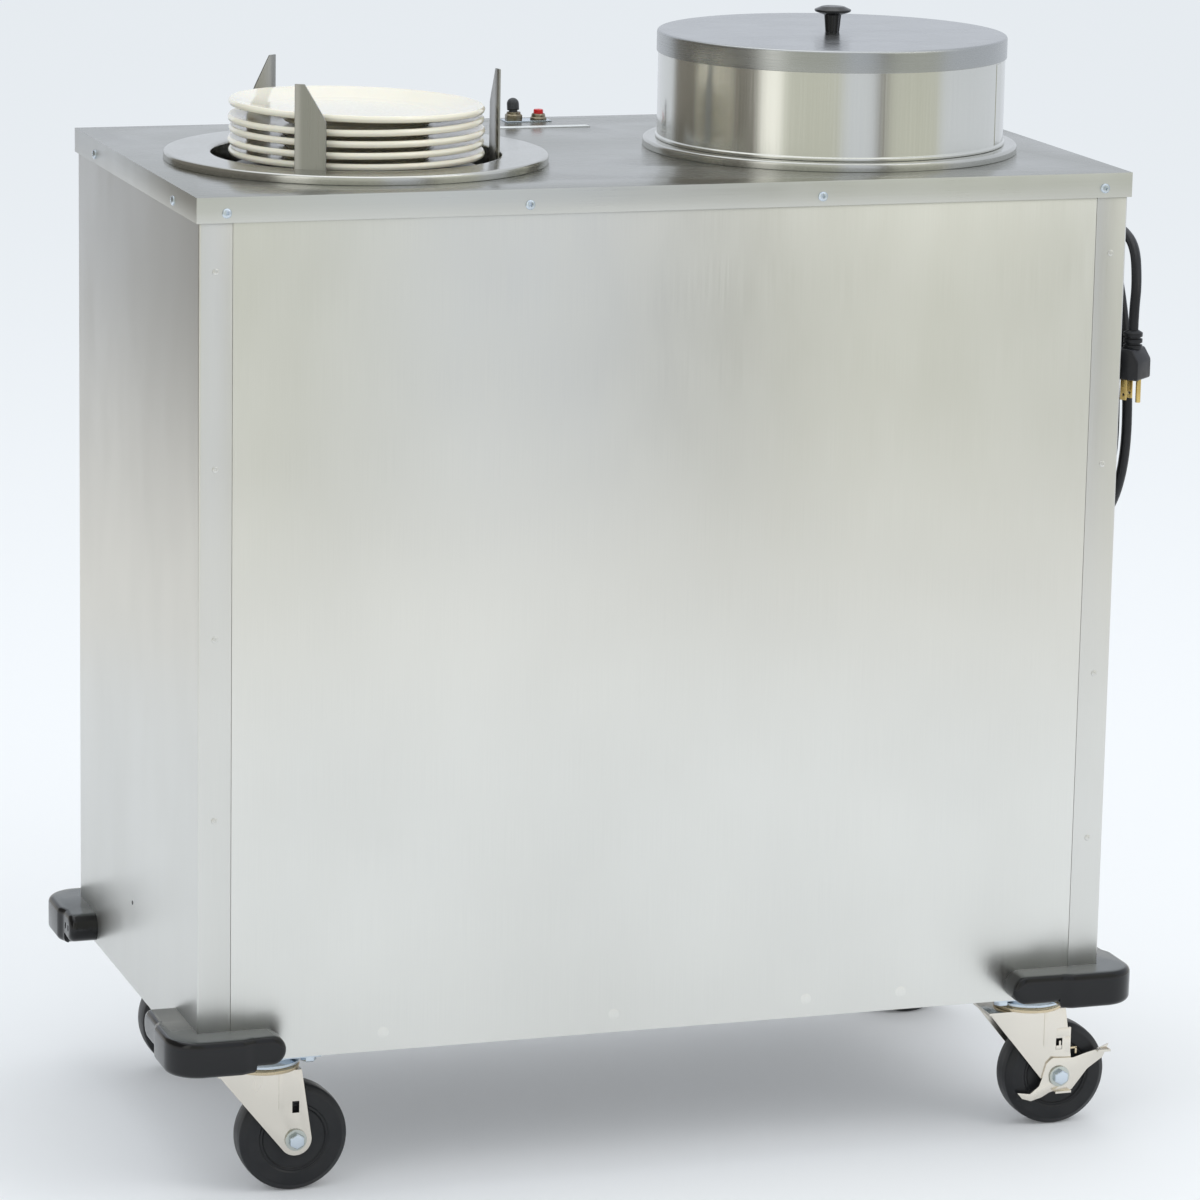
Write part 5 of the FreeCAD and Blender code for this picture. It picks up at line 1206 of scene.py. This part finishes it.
# %% A screen that only reflections see
SCREEN_RADIUS, SCREEN_HEIGHT, SCREEN_GLOW = 1.95, 2.6, 1.3
TOWARDS_CAMERA = math.atan2(CAMERA_PLACE.y, CAMERA_PLACE.x)
PALE_WALL = (0.6, 0.63, 0.68)
WARM_WALL = (0.52, 0.53, 0.47)
DARK_CORNER = (0.18, 0.17, 0.15)
LIGHT_PANEL = (1.0, 1.0, 0.95)
FOOT_OF_WALL = (0.72, 0.72, 0.7)
FOOT_TOP, WALL_FROM = 0.2, 0.7
# degrees from the camera's bearing, anticlockwise seen from above, and what stands there from then on
ROOM = [(-180, PALE_WALL), (-130, DARK_CORNER), (-45, LIGHT_PANEL), (-28, WARM_WALL), (12, PALE_WALL),
        (34, DARK_CORNER), (40, WARM_WALL), (75, PALE_WALL)]
screen_shape = bmesh.new()
bmesh.ops.create_cone(screen_shape, cap_ends=False, segments=96, radius1=SCREEN_RADIUS, radius2=SCREEN_RADIUS,
                      depth=SCREEN_HEIGHT)
bmesh.ops.translate(screen_shape, verts=screen_shape.verts, vec=(0, 0, SCREEN_HEIGHT / 2 + 0.002))
screen_mesh = bpy.data.meshes.new("studio_screen")
screen_shape.to_mesh(screen_mesh)
screen_shape.free()
screen = bpy.data.objects.new("studio_screen", screen_mesh)
bpy.context.collection.objects.link(screen)
for ray in ("camera", "diffuse", "transmission", "volume_scatter", "shadow"):
    setattr(screen, "visible_" + ray, False)

glow = Finish("studio_screen", (0, 0, 0), 1.0)
tree = glow.tree
where = glow.node("TexCoord")
turn_map = glow.node("Mapping")
turn_map.inputs["Rotation"].default_value = (0, 0, -TOWARDS_CAMERA)
glow.link(where.outputs["Object"], turn_map.inputs["Vector"])
sweep = glow.node("TexGradient", gradient_type="RADIAL")
glow.link(turn_map.outputs["Vector"], sweep.inputs["Vector"])
SOFT_EDGE = 0.007
ramp = glow.node("ValToRGB")
stops = ramp.color_ramp.elements
stops.remove(stops[-1])
stops[0].position, stops[0].color = 0, (*ROOM[0][1], 1)
for (_, before), (degrees, after) in zip(ROOM, ROOM[1:]):
    for side, grey in ((-SOFT_EDGE, before), (SOFT_EDGE, after)):
        stops.new((degrees + 180) / 360 + side).color = (*grey, 1)
glow.link(sweep.outputs["Fac"], ramp.inputs["Fac"])

parts = glow.node("SeparateXYZ")
glow.link(where.outputs["Object"], parts.inputs[0])
height = glow.spread(parts.outputs["Z"], 0, 1, FOOT_TOP, WALL_FROM)
blend = glow.node("Mix", data_type="RGBA")
glow.link(height, blend.inputs["Factor"])
blend.inputs[6].default_value = (*FOOT_OF_WALL, 1)
glow.link(ramp.outputs["Color"], blend.inputs[7])
emission = glow.node("Emission")
emission.inputs["Strength"].default_value = SCREEN_GLOW
glow.link(blend.outputs[2], emission.inputs["Color"])
out = tree.nodes["Material Output"]
glow.link(emission.outputs["Emission"], out.inputs["Surface"])
screen_mesh.materials.append(glow.material)
print("stretches of wall:", len(ROOM))

# %% Lamps and world


def soft_lamp(name, place, aim, size, power, color=(1, 1, 1)):
    lamp = bpy.data.lights.new(name, "AREA")
    lamp.shape = "SQUARE"
    lamp.size = size
    lamp.energy = power
    lamp.color = color
    made = bpy.data.objects.new(name, lamp)
    bpy.context.collection.objects.link(made)
    made.location = place
    made.rotation_euler = (Vector(aim) - Vector(place)).to_track_quat("-Z", "Y").to_euler()
    return made


soft_lamp("key", (2.6, -2.6, 3.2), (0, 0, 0.5), 2.2, 40, (1.0, 0.985, 0.96))
soft_lamp("fill", (-3.2, -2.2, 2.4), (0, 0, 0.5), 2.4, 18, (0.95, 0.97, 1.0))
soft_lamp("overhead", (0, 0.6, 4.0), (0, 0, 0), 3.0, 22)

world = bpy.data.worlds.new("studio")
bpy.context.scene.world = world
world.use_nodes = True
background = world.node_tree.nodes["Background"]
background.inputs["Color"].default_value = (0.93, 0.97, 1.0, 1)
background.inputs["Strength"].default_value = 0.99

# %% [markdown]
# ## Closing
#
# The last line prints how many pieces were made here.

# %% The last line
print("pieces made here:", len(PIECES) + 1)
